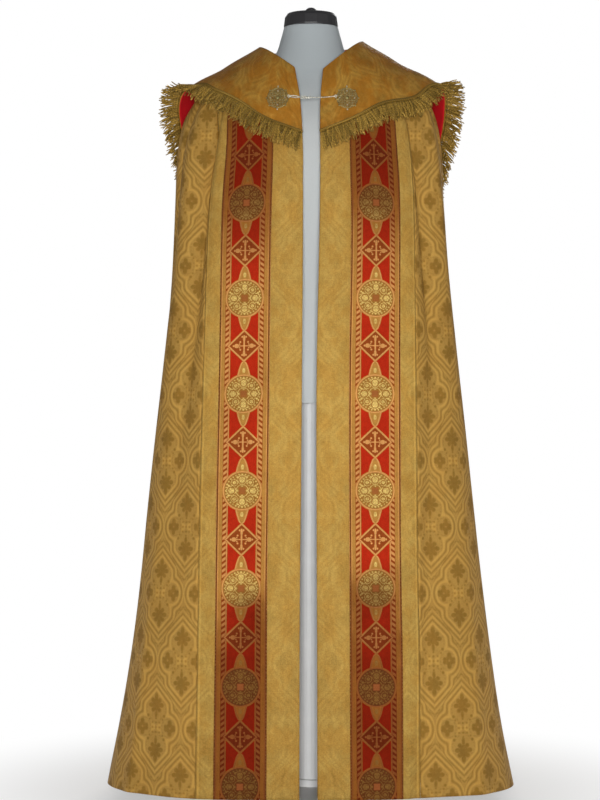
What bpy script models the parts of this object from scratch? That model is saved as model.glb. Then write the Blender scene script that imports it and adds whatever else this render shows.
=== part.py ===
"""A cope vestment with a fringed shoulder hood and a clasp, worn open on a limbless dress form with a stand.

Metres, +Z up, floor at Z = 0. The wearer faces -Y, so the wearer's right side is at -X.
The mantle is a wall of cloth through rings of sections that run from each front edge round to the centre
back. The galloons, hood, lining and fringe are made from the mantle's own points, moved out.
"""

import math

import bmesh
import bpy
import numpy as np

# ---------------------------------------------------------------- driving sizes
HEM_HEIGHT = 0.035
CLOTH_THICKNESS = 0.0020
BAND_WIDTH = 0.197
BAND_PLAIN_WIDTH = 0.062
GALLOON_WIDTH = 0.100
GALLOON_THICKNESS = 0.0012
SEAM_GAP = 0.0004
LAID_GAP = 0.0005
SIDE_SEAM_SHARE = 0.50
SHOULDER_DROP = 0.012

HOOD_THICKNESS = 0.0016
LINING_THICKNESS = 0.0010
FRINGE_LENGTH = 0.040
FRINGE_THICKNESS = 0.0050
FRINGE_GAP = 0.0014

CLASP_HEIGHT = 1.372
CLASP_PLATE_RADIUS = 0.0225
CLASP_PLATE_THICKNESS = 0.0030
CLASP_PLATE_LOBES = 8

NECK_CAP_RADIUS = 0.0545
NECK_TOP = 1.539
TORSO_BOTTOM = 0.785
POLE_RADIUS = 0.027
BASE_RADIUS = 0.200
BASE_THICKNESS = 0.010

RIGHT = -1
LEFT = 1
HOOD_SPREAD = {RIGHT: 0.0, LEFT: 0.3}
HOOD_HANG = {RIGHT: 0.0, LEFT: 0.48}

# The mantle's rings, from the neckline to the hem. front_z, side_z and back_z are the heights of the ring
# at the centre front, at the side and at the centre back; squareness is the exponent of its front corners.
SECTIONS = [
    # name        front_z  side_z  back_z  half_width  front  back   squareness  half_gap  gap_centre
    ("neck",       1.410,  1.502,  1.500,  0.102,      0.146, 0.084, 2.0,        0.0270,  -0.0040),
    ("yoke",       1.362,  1.463,  1.457,  0.160,      0.158, 0.122, 2.1,        0.0200,  -0.0015),
    ("shoulder",   1.312,  1.421,  1.404,  0.214,      0.166, 0.148, 2.3,        0.0175,   0.0000),
    ("upper arm",  1.262,  1.366,  1.342,  0.246,      0.172, 0.162, 2.5,        0.0165,   0.0010),
    ("armpit",     1.205,  1.298,  1.268,  0.260,      0.178, 0.174, 2.6,        0.0165,   0.0010),
    ("chest",      1.130,  1.185,  1.165,  0.267,      0.187, 0.192, 2.7,        0.0160,   0.0005),
    ("waist",      1.010,  1.030,  1.020,  0.276,      0.200, 0.216, 2.8,        0.0150,  -0.0010),
    ("hip",        0.870,  0.870,  0.870,  0.291,      0.215, 0.242, 2.9,        0.0140,  -0.0030),
    ("seat",       0.725,  0.725,  0.725,  0.306,      0.230, 0.268, 3.0,        0.0140,  -0.0040),
    ("thigh",      0.580,  0.580,  0.580,  0.320,      0.244, 0.292, 3.1,        0.0148,  -0.0045),
    ("knee",       0.440,  0.440,  0.440,  0.334,      0.257, 0.315, 3.2,        0.0158,  -0.0050),
    ("calf",       0.300,  0.300,  0.300,  0.351,      0.270, 0.338, 3.3,        0.0164,  -0.0050),
    ("ankle",      0.160,  0.160,  0.160,  0.372,      0.281, 0.360, 3.3,        0.0166,  -0.0050),
    ("hem",   HEM_HEIGHT, HEM_HEIGHT, HEM_HEIGHT, 0.396, 0.290, 0.380, 3.3,      0.0170,  -0.0050),
]
LAST_RING = len(SECTIONS) - 1

# The folds. place is the share of the way from the band's seam (0) to the centre back (1), at the top and
# at the hem; depth is how far a ridge stands out, or a trough goes in if it is negative.
FOLDS = [
    # name                 side   place_top  place_hem  width_top  width_hem  depth_top  depth_hem  first_ring
    ("band seam trough",   RIGHT, 0.02,      0.10,      0.030,     0.060,     -0.010,    -0.004,    2.0),
    ("side front ridge",   RIGHT, 0.16,      0.26,      0.040,     0.085,      0.006,     0.008,    3.0),
    ("side trough",        RIGHT, 0.30,      0.39,      0.035,     0.070,     -0.004,    -0.018,    4.0),
    ("side back ridge",    RIGHT, 0.44,      0.54,      0.045,     0.075,      0.004,     0.004,    4.0),
    ("back trough",        RIGHT, 0.58,      0.67,      0.040,     0.065,     -0.003,    -0.026,    5.0),
    ("back ridge",         RIGHT, 0.72,      0.80,      0.045,     0.070,      0.003,     0.028,    5.0),
    ("inner back trough",  RIGHT, 0.86,      0.91,      0.035,     0.050,     -0.003,    -0.022,    5.0),
    ("band seam trough",   LEFT,  0.05,      0.04,      0.035,     0.050,     -0.006,    -0.008,    2.5),
    ("side front ridge",   LEFT,  0.19,      0.22,      0.040,     0.080,      0.003,     0.010,    3.0),
    ("side trough",        LEFT,  0.32,      0.37,      0.040,     0.070,     -0.005,    -0.018,    4.0),
    ("side back ridge",    LEFT,  0.46,      0.51,      0.045,     0.080,      0.002,     0.024,    4.0),
    ("back trough",        LEFT,  0.60,      0.65,      0.040,     0.065,     -0.003,    -0.028,    5.0),
    ("back ridge",         LEFT,  0.74,      0.79,      0.045,     0.070,      0.003,     0.026,    5.0),
    ("inner back trough",  LEFT,  0.88,      0.90,      0.035,     0.050,     -0.003,    -0.020,    5.0),
    ("centre back ridge",  RIGHT, 1.00,      1.00,      0.045,     0.070,      0.003,     0.024,    5.0),
    ("centre back ridge",  LEFT,  1.00,      1.00,      0.045,     0.070,      0.003,     0.024,    5.0),
]

# The hood's lower edge. place is the share of the way from the front edge (0) to the centre back (1);
# edge_ring is the mantle ring it reaches; lift is how far it stands off the mantle, halfway and at the edge.
HOOD_EDGE = [
    # name               place  edge_ring  lift_mid  lift_edge
    ("lappet point",     0.00,  2.30,      0.0060,   0.0075),
    ("lappet inner",     0.12,  2.36,      0.0065,   0.0085),
    ("lappet middle",    0.22,  2.15,      0.0075,   0.0100),
    ("lappet outer",     0.32,  2.08,      0.0085,   0.0120),
    ("lappet corner",    0.40,  2.06,      0.0090,   0.0180),
    ("shoulder",         0.49,  2.50,      0.0095,   0.0300),
    ("shield top",       0.57,  3.30,      0.0110,   0.0240),
    ("shield side",      0.64,  4.50,      0.0130,   0.0170),
    ("shield low side",  0.74,  5.70,      0.0140,   0.0180),
    ("shield lower",     0.87,  6.45,      0.0150,   0.0180),
    ("shield point",     1.00,  6.75,      0.0130,   0.0150),
]

# The dress form's body, from its flat underside to the top of its neck.
TORSO_SECTIONS = [
    # name            z             half_width  front  back
    ("underside rim", TORSO_BOTTOM, 0.156,      0.103, 0.103),
    ("hip edge",      0.789,        0.160,      0.107, 0.107),
    ("hip",           0.880,        0.166,      0.112, 0.116),
    ("waist",         1.040,        0.142,      0.100, 0.098),
    ("ribs",          1.150,        0.160,      0.116, 0.110),
    ("chest",         1.250,        0.184,      0.124, 0.120),
    ("upper chest",   1.320,        0.196,      0.112, 0.112),
    ("arm end",       1.370,        0.196,      0.092, 0.092),
    ("shoulder tip",  1.400,        0.184,      0.076, 0.076),
    ("shoulder",      1.424,        0.156,      0.064, 0.066),
    ("shoulder top",  1.446,        0.122,      0.058, 0.062),
    ("neck foot",     1.466,        0.090,      0.058, 0.062),
    ("neck base",     1.488,        0.070,      0.058, 0.060),
    ("neck",          1.515,        0.061,      0.056, 0.057),
    ("neck top",      1.5385,       0.0545,     0.0530, 0.0530),
]


def clear_scene():
    for old in list(bpy.data.objects):
        bpy.data.objects.remove(old, do_unlink=True)


def make_material(name, colour, roughness, metallic=0.0):
    material = bpy.data.materials.new(name)
    material.use_nodes = True
    shader = material.node_tree.nodes["Principled BSDF"]
    shader.inputs["Base Color"].default_value = (*colour, 1.0)
    shader.inputs["Roughness"].default_value = roughness
    shader.inputs["Metallic"].default_value = metallic
    return material


def smooth_step(t):
    t = np.clip(t, 0.0, 1.0)
    return t * t * (3.0 - 2.0 * t)


def through_rows(rows, columns, at):
    """A smooth curve through the rows of a table, read at a fractional row number."""
    table = np.array([[float(row[c]) for c in columns] for row in rows])
    last = len(table) - 1
    at = min(max(at, 0.0), float(last))
    i = min(int(at), last - 1)
    t = at - i
    before = table[max(i - 1, 0)]
    after = table[min(i + 2, last)]
    slope_a = (table[i + 1] - before) / (2.0 if i > 0 else 1.0)
    slope_b = (after - table[i]) / (2.0 if i + 2 <= last else 1.0)
    return (
        (2 * t**3 - 3 * t**2 + 1) * table[i]
        + (t**3 - 2 * t**2 + t) * slope_a
        + (3 * t**2 - 2 * t**3) * table[i + 1]
        + (t**3 - t**2) * slope_b
    )


RINGS = {}


def ring(side, v):
    """(points, arc) of one side's ring without folds, from the front edge round to the centre back."""
    key = (side, round(v, 6))
    if key in RINGS:
        return RINGS[key]
    row = through_rows(SECTIONS, range(1, 10), v)
    front_z, side_z, back_z, width, front, back, square, half_gap, centre = row
    if side == RIGHT:
        side_z = side_z - SHOULDER_DROP * (1.0 - smooth_step((v - 2.5) / 1.5))
    angle = np.linspace(0.0, math.pi, 721)
    sine = np.abs(np.sin(angle))
    cosine = np.abs(np.cos(angle))
    power = np.where(angle < math.pi / 2, 2.0 / square, 2.0 / 2.25)
    x = width * sine**power
    y = np.where(angle < math.pi / 2, -front, back) * cosine**power
    level = 1.0 - x / width
    z = np.where(angle < math.pi / 2, side_z + (front_z - side_z) * level, side_z + (back_z - side_z) * level)
    edge = half_gap + side * centre
    first = int(np.argmax(x > edge))
    share = (edge - x[first - 1]) / (x[first] - x[first - 1])
    start = [a[first - 1] + share * (a[first] - a[first - 1]) for a in (x, y, z)]
    points = np.stack([x, y, z], 1)[first:]
    points = np.vstack([start, points])
    arc = np.concatenate([[0.0], np.cumsum(np.linalg.norm(np.diff(points, axis=0), axis=1))])
    points[:, 0] *= side
    RINGS[key] = (points, arc)
    return RINGS[key]


def ring_length(side, v):
    return ring(side, v)[1][-1]


def fold_depth(side, s, v):
    """How far the folds move the cloth out at arc length s on ring v."""
    length = ring_length(side, v)
    place = (s - BAND_WIDTH) / max(length - BAND_WIDTH, 1e-6)
    total = 0.0
    for _, fold_side, top, hem, width_top, width_hem, depth_top, depth_hem, first in FOLDS:
        if fold_side != side or v <= first:
            continue
        down = (v - first) / (LAST_RING - first)
        grown = smooth_step((v - first) / 1.5)
        centre = top + (hem - top) * down
        width = width_top + (width_hem - width_top) * down
        depth = depth_top + (depth_hem - depth_top) * down
        distance = (place - centre) * (length - BAND_WIDTH) / width
        total += depth * grown * math.exp(-distance * distance)
    # The bands are stiff and hang flat, and the folds meet the centre back square on.
    return total * smooth_step((s - BAND_WIDTH * 0.86) / 0.05)


def on_mantle(side, s, v, folded=True):
    points, arc = ring(side, v)
    spot = np.array([np.interp(s, arc, points[:, i]) for i in range(3)])
    if not folded:
        return spot
    step = 0.004
    a = np.array([np.interp(min(s + step, arc[-1]), arc, points[:, i]) for i in range(3)])
    b = np.array([np.interp(max(s - step, 0.0), arc, points[:, i]) for i in range(3)])
    along = a - b
    if s > arc[-1] - step:
        along = np.array([-side * 1.0, 0.0, 0.0])
    out = np.array([-along[1], along[0], 0.0]) * -side
    out /= max(np.linalg.norm(out), 1e-9)
    return spot + out * fold_depth(side, s, v)


def outward(side, s, v, folded=True):
    """The unit normal of the mantle at arc length s on ring v, pointing away from the body."""
    length = ring_length(side, v)
    step = 0.006
    if s > length - step:
        return_x = 0.0
    else:
        return_x = 1.0
    a = on_mantle(side, min(s + step, length), v, folded)
    b = on_mantle(side, max(s - step, 0.0), v, folded)
    high = max(v - 0.12, 0.0)
    low = min(v + 0.12, LAST_RING)
    share = s / length
    up = on_mantle(side, share * ring_length(side, high), high, folded)
    down = on_mantle(side, share * ring_length(side, low), low, folded)
    normal = np.cross(a - b, down - up) * -side
    normal[0] *= return_x
    return normal / np.linalg.norm(normal)


def cloth_solid(name, material, inner, outer):
    """A closed wall between two grids of points, inner towards the body and outer away from it."""
    rows = len(outer)
    columns = len(outer[0])
    mesh = bmesh.new()
    outer_verts = [[mesh.verts.new(p) for p in line] for line in outer]
    inner_verts = [[mesh.verts.new(p) for p in line] for line in inner]
    for r in range(rows - 1):
        for c in range(columns - 1):
            o = outer_verts
            i = inner_verts
            mesh.faces.new((o[r][c], o[r + 1][c], o[r + 1][c + 1], o[r][c + 1]))
            mesh.faces.new((i[r][c], i[r][c + 1], i[r + 1][c + 1], i[r + 1][c]))
    rim = [(0, c) for c in range(columns)]
    rim += [(r, columns - 1) for r in range(1, rows)]
    rim += [(rows - 1, c) for c in range(columns - 2, -1, -1)]
    rim += [(r, 0) for r in range(rows - 2, 0, -1)]
    for (r0, c0), (r1, c1) in zip(rim, rim[1:] + rim[:1]):
        mesh.faces.new((outer_verts[r0][c0], outer_verts[r1][c1], inner_verts[r1][c1], inner_verts[r0][c0]))
    return finish(name, mesh, material, smooth=True)


def finish(name, mesh, material, smooth):
    bmesh.ops.recalc_face_normals(mesh, faces=mesh.faces)
    if mesh.calc_volume(signed=True) < 0:
        bmesh.ops.reverse_faces(mesh, faces=mesh.faces)
    for face in mesh.faces:
        face.smooth = smooth
    data = bpy.data.meshes.new(name)
    mesh.to_mesh(data)
    mesh.free()
    data.materials.append(material)
    made = bpy.data.objects.new(name, data)
    bpy.context.scene.collection.objects.link(made)
    return made


def offset_grid(spots, distance):
    """spots is a grid of (side, s, v); distance is how far the points stand out from the mantle's middle."""
    return [[on_mantle(*spot) + outward(*spot) * distance for spot in line] for line in spots]


def mantle_rows():
    return [float(v) for v in range(LAST_RING + 1)]


def galloon_stations():
    """Arc lengths across the galloon. The band beneath has the same ones, so that the two lie parallel."""
    return list(np.linspace(BAND_PLAIN_WIDTH, BAND_PLAIN_WIDTH + GALLOON_WIDTH, 5))


def front_band(name, side, material):
    stations = [0.0, BAND_PLAIN_WIDTH / 2] + galloon_stations() + [0.180, BAND_WIDTH - SEAM_GAP / 2]
    spots = [[(side, s, v) for s in stations] for v in mantle_rows()]
    half = CLOTH_THICKNESS / 2
    return cloth_solid(name, material, offset_grid(spots, -half), offset_grid(spots, half))


def galloon(name, side, material):
    spots = [[(side, s, v) for s in galloon_stations()] for v in mantle_rows()]
    low = CLOTH_THICKNESS / 2 + LAID_GAP
    return cloth_solid(name, material, offset_grid(spots, low), offset_grid(spots, low + GALLOON_THICKNESS))


def side_seam(side, v):
    return BAND_WIDTH + (ring_length(side, v) - BAND_WIDTH) * SIDE_SEAM_SHARE


def side_panel(name, side, material):
    spots = []
    for v in mantle_rows():
        first = BAND_WIDTH + SEAM_GAP / 2
        last = side_seam(side, v) - SEAM_GAP / 2
        spots.append([(side, s, v) for s in np.linspace(first, last, 15)])
    half = CLOTH_THICKNESS / 2
    return cloth_solid(name, material, offset_grid(spots, -half), offset_grid(spots, half))


def back_panel(name, material):
    spots = []
    for v in mantle_rows():
        line = []
        for side in (RIGHT, LEFT):
            first = side_seam(side, v) + SEAM_GAP / 2
            half_line = [(side, s, v) for s in np.linspace(first, ring_length(side, v), 14)]
            line += half_line if side == RIGHT else half_line[-2::-1]
        spots.append(line)
    half = CLOTH_THICKNESS / 2
    return cloth_solid(name, material, offset_grid(spots, -half), offset_grid(spots, half))


def hood_edge(place):
    """(edge ring, lift halfway, lift at the edge) at a share of the way from the front to the centre back."""
    places = [row[1] for row in HOOD_EDGE]
    at = float(np.interp(place, places, range(len(places))))
    return through_rows(HOOD_EDGE, (2, 3, 4), at)


def on_hood(side, place, down, height):
    """A point of the hood. place runs from the front edge to the centre back, down from the neck to its edge."""
    edge, lift_mid, lift_edge = hood_edge(place)
    v = down * (edge + HOOD_HANG[side] * math.exp(-(((place - 0.33) / 0.12) ** 2)))
    s = place * ring_length(side, v)
    near_neck = 0.0060
    if down < 0.5:
        lift = near_neck + (lift_mid - near_neck) * smooth_step(down / 0.5)
    else:
        t = (down - 0.5) / 0.5
        lift_edge = lift_edge * (1.0 + HOOD_SPREAD[side] * math.exp(-(((place - 0.47) / 0.10) ** 2)))
        lift = lift_mid + (lift_edge - lift_mid) * t * t * (1.6 - 0.6 * t)
    return on_mantle(side, s, v, False) + outward(side, s, v, False) * (lift + height)


HOOD_PLACES = (0.0, 0.06, 0.12, 0.18, 0.25, 0.32, 0.39, 0.45, 0.50, 0.55, 0.60, 0.64, 0.69, 0.75, 0.83, 0.91, 1.0)
HOOD_DOWNS = (0.0, 0.08, 0.16, 0.26, 0.38, 0.52, 0.68, 0.84, 1.0)


def hood_line(make):
    """make(side, place) for every place from the right front edge round the back to the left front edge."""
    line = [make(RIGHT, place) for place in HOOD_PLACES]
    return line + [make(LEFT, place) for place in HOOD_PLACES[-2::-1]]


def hood_grid(height):
    return [hood_line(lambda side, place, d=down: on_hood(side, place, d, height)) for down in HOOD_DOWNS]


def hood(name, material):
    return cloth_solid(name, material, hood_grid(0.0), hood_grid(HOOD_THICKNESS))


def hood_lining(name, material):
    top = -LAID_GAP
    return cloth_solid(name, material, hood_grid(top - LINING_THICKNESS), hood_grid(top))


def fringe_line(side, place):
    """(root, hang, out) of the fringe where it leaves the hood's edge."""
    middle = HOOD_THICKNESS / 2
    root = on_hood(side, place, 1.0, middle)
    inner = on_hood(side, place, 0.94, middle)
    down = root - inner
    down /= np.linalg.norm(down)
    before = on_hood(side, max(place - 0.01, 0.0), 1.0, middle)
    after = on_hood(side, min(place + 0.01, 1.0), 1.0, middle)
    along = after - before
    along /= np.linalg.norm(along)
    across = down - along * float(down @ along)
    across /= np.linalg.norm(across)
    out = np.cross(along, across)
    centre = np.array([0.0, 0.02, root[2]])
    if float(out @ (root - centre)) < 0:
        out = -out
    flare = math.exp(-(((place - 0.45) / 0.10) ** 2))
    hang = across * (0.72 + 0.2 * flare) + np.array([0.0, 0.0, -1.0]) * (0.38 - 0.25 * flare)
    hang /= np.linalg.norm(hang)
    if place > 0.999:
        hang[0] = 0.0
        out[0] = 0.0
    return root, hang, out / np.linalg.norm(out)


def hood_fringe(name, side, material):
    places = HOOD_PLACES
    inner = []
    outer = []
    for share in (0.0, 0.5, 1.0):
        low_line = []
        high_line = []
        for place in places:
            root, hang, out = fringe_line(side, place)
            reach = FRINGE_GAP + share * FRINGE_LENGTH
            spot = root + hang * reach
            if place == 1.0:
                spot[0] = side * SEAM_GAP / 2
            low_line.append(spot - out * FRINGE_THICKNESS * 0.30)
            high_line.append(spot + out * FRINGE_THICKNESS * 0.70)
        inner.append(low_line)
        outer.append(high_line)
    return cloth_solid(name, material, inner, outer)


def hood_spot(side, x, z):
    """The place on the hood's outer face with this X and Z, and its normal."""
    best = None
    for place in np.linspace(0.0, 0.4, 81):
        for down in np.linspace(0.05, 1.0, 60):
            spot = on_hood(side, place, down, HOOD_THICKNESS)
            miss = abs(spot[0] - x) + abs(spot[2] - z)
            if best is None or miss < best[0]:
                best = (miss, place, down)
    _, place, down = best
    spot = on_hood(side, place, down, HOOD_THICKNESS)
    a = on_hood(side, place + 0.03, down, HOOD_THICKNESS) - on_hood(side, max(place - 0.03, 0), down, HOOD_THICKNESS)
    b = on_hood(side, place, min(down + 0.1, 1), HOOD_THICKNESS) - on_hood(side, place, down - 0.1, HOOD_THICKNESS)
    normal = np.cross(a, b) * -side
    normal /= np.linalg.norm(normal)
    return spot, normal


def clasp_plate(name, side, x, material):
    """A scalloped openwork brooch, as its outline with a raised boss."""
    spot, normal = hood_spot(side, x, CLASP_HEIGHT)
    across = np.cross(np.array([0.0, 0.0, 1.0]), normal)
    across /= np.linalg.norm(across)
    up = np.cross(normal, across)
    base = spot + normal * 0.0044
    steps = 40
    profile = (
        # radius share, height share
        (1.00, 0.0),
        (1.00, 0.55),
        (0.80, 0.75),
        (0.52, 0.60),
        (0.30, 1.00),
    )
    mesh = bmesh.new()
    back = mesh.verts.new(base)
    front = mesh.verts.new(base + normal * CLASP_PLATE_THICKNESS * 1.25)
    loops = []
    for radius_share, height_share in profile:
        loop = []
        for i in range(steps):
            a = 2 * math.pi * i / steps
            lobed = 1.0 + 0.10 * math.cos(CLASP_PLATE_LOBES * a) * radius_share
            r = CLASP_PLATE_RADIUS * radius_share * lobed
            spot = base + across * (r * math.sin(a)) + up * (r * math.cos(a))
            loop.append(mesh.verts.new(spot + normal * (CLASP_PLATE_THICKNESS * height_share)))
        loops.append(loop)
    for i in range(steps):
        j = (i + 1) % steps
        mesh.faces.new((back, loops[0][j], loops[0][i]))
        mesh.faces.new((front, loops[-1][i], loops[-1][j]))
        for low, high in zip(loops, loops[1:]):
            mesh.faces.new((low[i], low[j], high[j], high[i]))
    finish(name, mesh, material, smooth=False)
    return base, normal


def bar(mesh, start, end, radius, steps=8):
    """A round bar with flat ends, added to the mesh."""
    start = np.array(start)
    end = np.array(end)
    along = (end - start) / np.linalg.norm(end - start)
    side = np.cross(along, np.array([0.0, 0.0, 1.0]))
    if np.linalg.norm(side) < 1e-3:
        side = np.array([1.0, 0.0, 0.0])
    side /= np.linalg.norm(side)
    up = np.cross(side, along)
    loops = []
    for centre in (start, end):
        loop = []
        for i in range(steps):
            a = 2 * math.pi * i / steps
            loop.append(mesh.verts.new(centre + side * (radius * math.cos(a)) + up * (radius * math.sin(a))))
        loops.append(loop)
    for i in range(steps):
        j = (i + 1) % steps
        mesh.faces.new((loops[0][i], loops[0][j], loops[1][j], loops[1][i]))
    mesh.faces.new(loops[0][::-1])
    mesh.faces.new(loops[1])


def clasp_bar(name, start, end, radius, material):
    mesh = bmesh.new()
    bar(mesh, start, end, radius)
    return finish(name, mesh, material, smooth=False)


def lathe(name, profile, material, steps=28, smooth=True):
    """A closed round solid from a profile of (radius, z) that starts and ends on the axis."""
    mesh = bmesh.new()
    loops = []
    for radius, z in profile:
        if radius == 0.0:
            loops.append([mesh.verts.new((0.0, 0.0, z))])
            continue
        loop = []
        for i in range(steps):
            a = 2 * math.pi * i / steps
            loop.append(mesh.verts.new((radius * math.cos(a), radius * math.sin(a), z)))
        loops.append(loop)
    for low, high in zip(loops, loops[1:]):
        for i in range(steps):
            j = (i + 1) % steps
            if len(low) == 1:
                mesh.faces.new((low[0], high[j], high[i]))
            elif len(high) == 1:
                mesh.faces.new((low[i], low[j], high[0]))
            else:
                mesh.faces.new((low[i], low[j], high[j], high[i]))
    return finish(name, mesh, material, smooth)


def form_torso(name, material):
    steps = 36
    mesh = bmesh.new()
    loops = []
    for at in range(len(TORSO_SECTIONS)):
        z, width, front, back = through_rows(TORSO_SECTIONS, range(1, 5), at)
        loop = []
        for i in range(steps):
            a = 2 * math.pi * i / steps
            x = width * math.copysign(abs(math.sin(a)) ** 0.92, math.sin(a))
            depth = front if math.cos(a) < 0 else back
            y = depth * math.copysign(abs(math.cos(a)) ** 0.92, math.cos(a))
            loop.append(mesh.verts.new((x, y, z)))
        loops.append(loop)
    under = mesh.verts.new((0.0, 0.0, loops[0][0].co.z))
    top = mesh.verts.new((0.0, 0.0, loops[-1][0].co.z))
    for i in range(steps):
        j = (i + 1) % steps
        mesh.faces.new((under, loops[0][i], loops[0][j]))
        mesh.faces.new((top, loops[-1][j], loops[-1][i]))
        for low, high in zip(loops, loops[1:]):
            mesh.faces.new((low[j], low[i], high[i], high[j]))
    return finish(name, mesh, material, smooth=True)


def build():
    clear_scene()
    damask = make_material("gold_damask", (0.42, 0.26, 0.07), 0.55)
    band_damask = make_material("gold_band_damask", (0.48, 0.29, 0.07), 0.50)
    hood_damask = make_material("gold_hood_damask", (0.30, 0.17, 0.04), 0.60)
    woven_galloon = make_material("red_gold_galloon", (0.36, 0.05, 0.02), 0.45)
    satin = make_material("red_satin", (0.36, 0.01, 0.015), 0.30)
    bullion = make_material("antique_gold_fringe", (0.26, 0.17, 0.05), 0.55)
    brooch_metal = make_material("antique_gilt_metal", (0.42, 0.36, 0.22), 0.35, 0.9)
    cover = make_material("white_form_cover", (0.55, 0.56, 0.55), 0.80)
    black_cap = make_material("black_neck_cap", (0.015, 0.015, 0.017), 0.50)
    painted_pole = make_material("white_painted_pole", (0.60, 0.60, 0.60), 0.40)
    painted_base = make_material("white_painted_base", (0.58, 0.58, 0.58), 0.42)

    for side, word in ((RIGHT, "right"), (LEFT, "left")):
        front_band(f"front_band_{word}", side, band_damask.copy())
        galloon(f"galloon_{word}", side, woven_galloon.copy())
        side_panel(f"side_panel_{word}", side, damask.copy())
        hood_fringe(f"hood_fringe_{word}", side, bullion.copy())
    back_panel("back_panel", damask)
    hood("hood", hood_damask)
    hood_lining("hood_lining", satin)

    right_base, right_normal = clasp_plate("clasp_plate_right", RIGHT, -0.064, brooch_metal.copy())
    left_base, left_normal = clasp_plate("clasp_plate_left", LEFT, 0.070, brooch_metal.copy())
    front = min(right_base[1], left_base[1]) - 0.012
    chain_right = ((-0.0390, front, CLASP_HEIGHT), (-0.0150, front, CLASP_HEIGHT))
    hook = ((-0.0146, front, CLASP_HEIGHT), (-0.0030, front, CLASP_HEIGHT))
    chain_left = ((-0.0026, front, CLASP_HEIGHT), (0.0445, front, CLASP_HEIGHT))
    clasp_bar("clasp_chain_right", *chain_right, 0.0016, brooch_metal.copy())
    clasp_bar("clasp_hook", *hook, 0.0022, brooch_metal.copy())
    clasp_bar("clasp_chain_left", *chain_left, 0.0013, brooch_metal)

    form_torso("form_torso", cover)
    cap = NECK_CAP_RADIUS
    lathe(
        "form_neck_cap",
        [
            (0.0, NECK_TOP),
            (cap, NECK_TOP),
            (cap * 1.01, NECK_TOP + 0.003),
            (cap * 0.97, NECK_TOP + 0.020),
            (cap * 0.88, NECK_TOP + 0.027),
            (cap * 0.55, NECK_TOP + 0.0305),
            (0.012, NECK_TOP + 0.0320),
            (0.010, NECK_TOP + 0.0370),
            (0.006, NECK_TOP + 0.0400),
            (0.0, NECK_TOP + 0.0405),
        ],
        black_cap,
    )
    pole_foot = BASE_THICKNESS + 0.0150
    lathe(
        "stand_pole",
        [
            (0.0, pole_foot),
            (POLE_RADIUS, pole_foot),
            (POLE_RADIUS, TORSO_BOTTOM - 0.0004),
            (0.0, TORSO_BOTTOM - 0.0004),
        ],
        painted_pole,
        steps=24,
    )
    lathe(
        "stand_base",
        [
            (0.0, 0.0),
            (BASE_RADIUS, 0.0),
            (BASE_RADIUS, BASE_THICKNESS - 0.003),
            (BASE_RADIUS - 0.003, BASE_THICKNESS),
            (0.040, BASE_THICKNESS + 0.002),
            (0.036, BASE_THICKNESS + 0.0146),
            (0.0, BASE_THICKNESS + 0.0146),
        ],
        painted_base,
        steps=48,
    )


build()
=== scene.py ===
"""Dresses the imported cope: woven cloth, galloons, hood, fringe, clasp and the form it hangs on."""

import functools
import math

import bpy
import numpy as np
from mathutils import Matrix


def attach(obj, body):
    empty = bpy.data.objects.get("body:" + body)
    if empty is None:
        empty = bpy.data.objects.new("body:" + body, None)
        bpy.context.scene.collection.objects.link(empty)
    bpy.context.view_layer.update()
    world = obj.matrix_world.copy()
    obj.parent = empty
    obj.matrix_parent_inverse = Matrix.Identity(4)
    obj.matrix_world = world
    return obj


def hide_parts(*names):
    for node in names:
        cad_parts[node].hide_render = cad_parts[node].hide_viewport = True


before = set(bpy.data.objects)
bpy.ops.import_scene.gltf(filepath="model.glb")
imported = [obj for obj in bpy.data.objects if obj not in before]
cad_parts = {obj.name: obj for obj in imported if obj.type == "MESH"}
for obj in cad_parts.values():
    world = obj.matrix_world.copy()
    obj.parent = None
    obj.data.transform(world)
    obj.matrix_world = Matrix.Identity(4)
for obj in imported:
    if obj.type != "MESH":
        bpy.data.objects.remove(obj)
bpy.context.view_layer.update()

bl_info = {
    "name": "Cope on a dress form",
    "version": (1, 0, 0),
    "blender": (4, 5, 0),
    "location": "3D View > Sidebar > Cope",
    "description": "Builds a damask cope with galloons, a fringed hood and a clasp on its frame",
    "category": "Object",
}

RIGHT, LEFT = -1, 1
SIDE_WORDS = {RIGHT: "right", LEFT: "left"}
TURN = 2 * math.pi
SHOULDER_DROP = 0.012  # the right shoulder is worn this much lower
HOOD_SPREAD = {RIGHT: 0.0, LEFT: 0.3}
HOOD_HANG = {RIGHT: 0.0, LEFT: 0.48}
SEAM = 0.0002
SIDE_SEAM_SHARE = 0.50
CLASP_HEIGHT = 1.372

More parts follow.
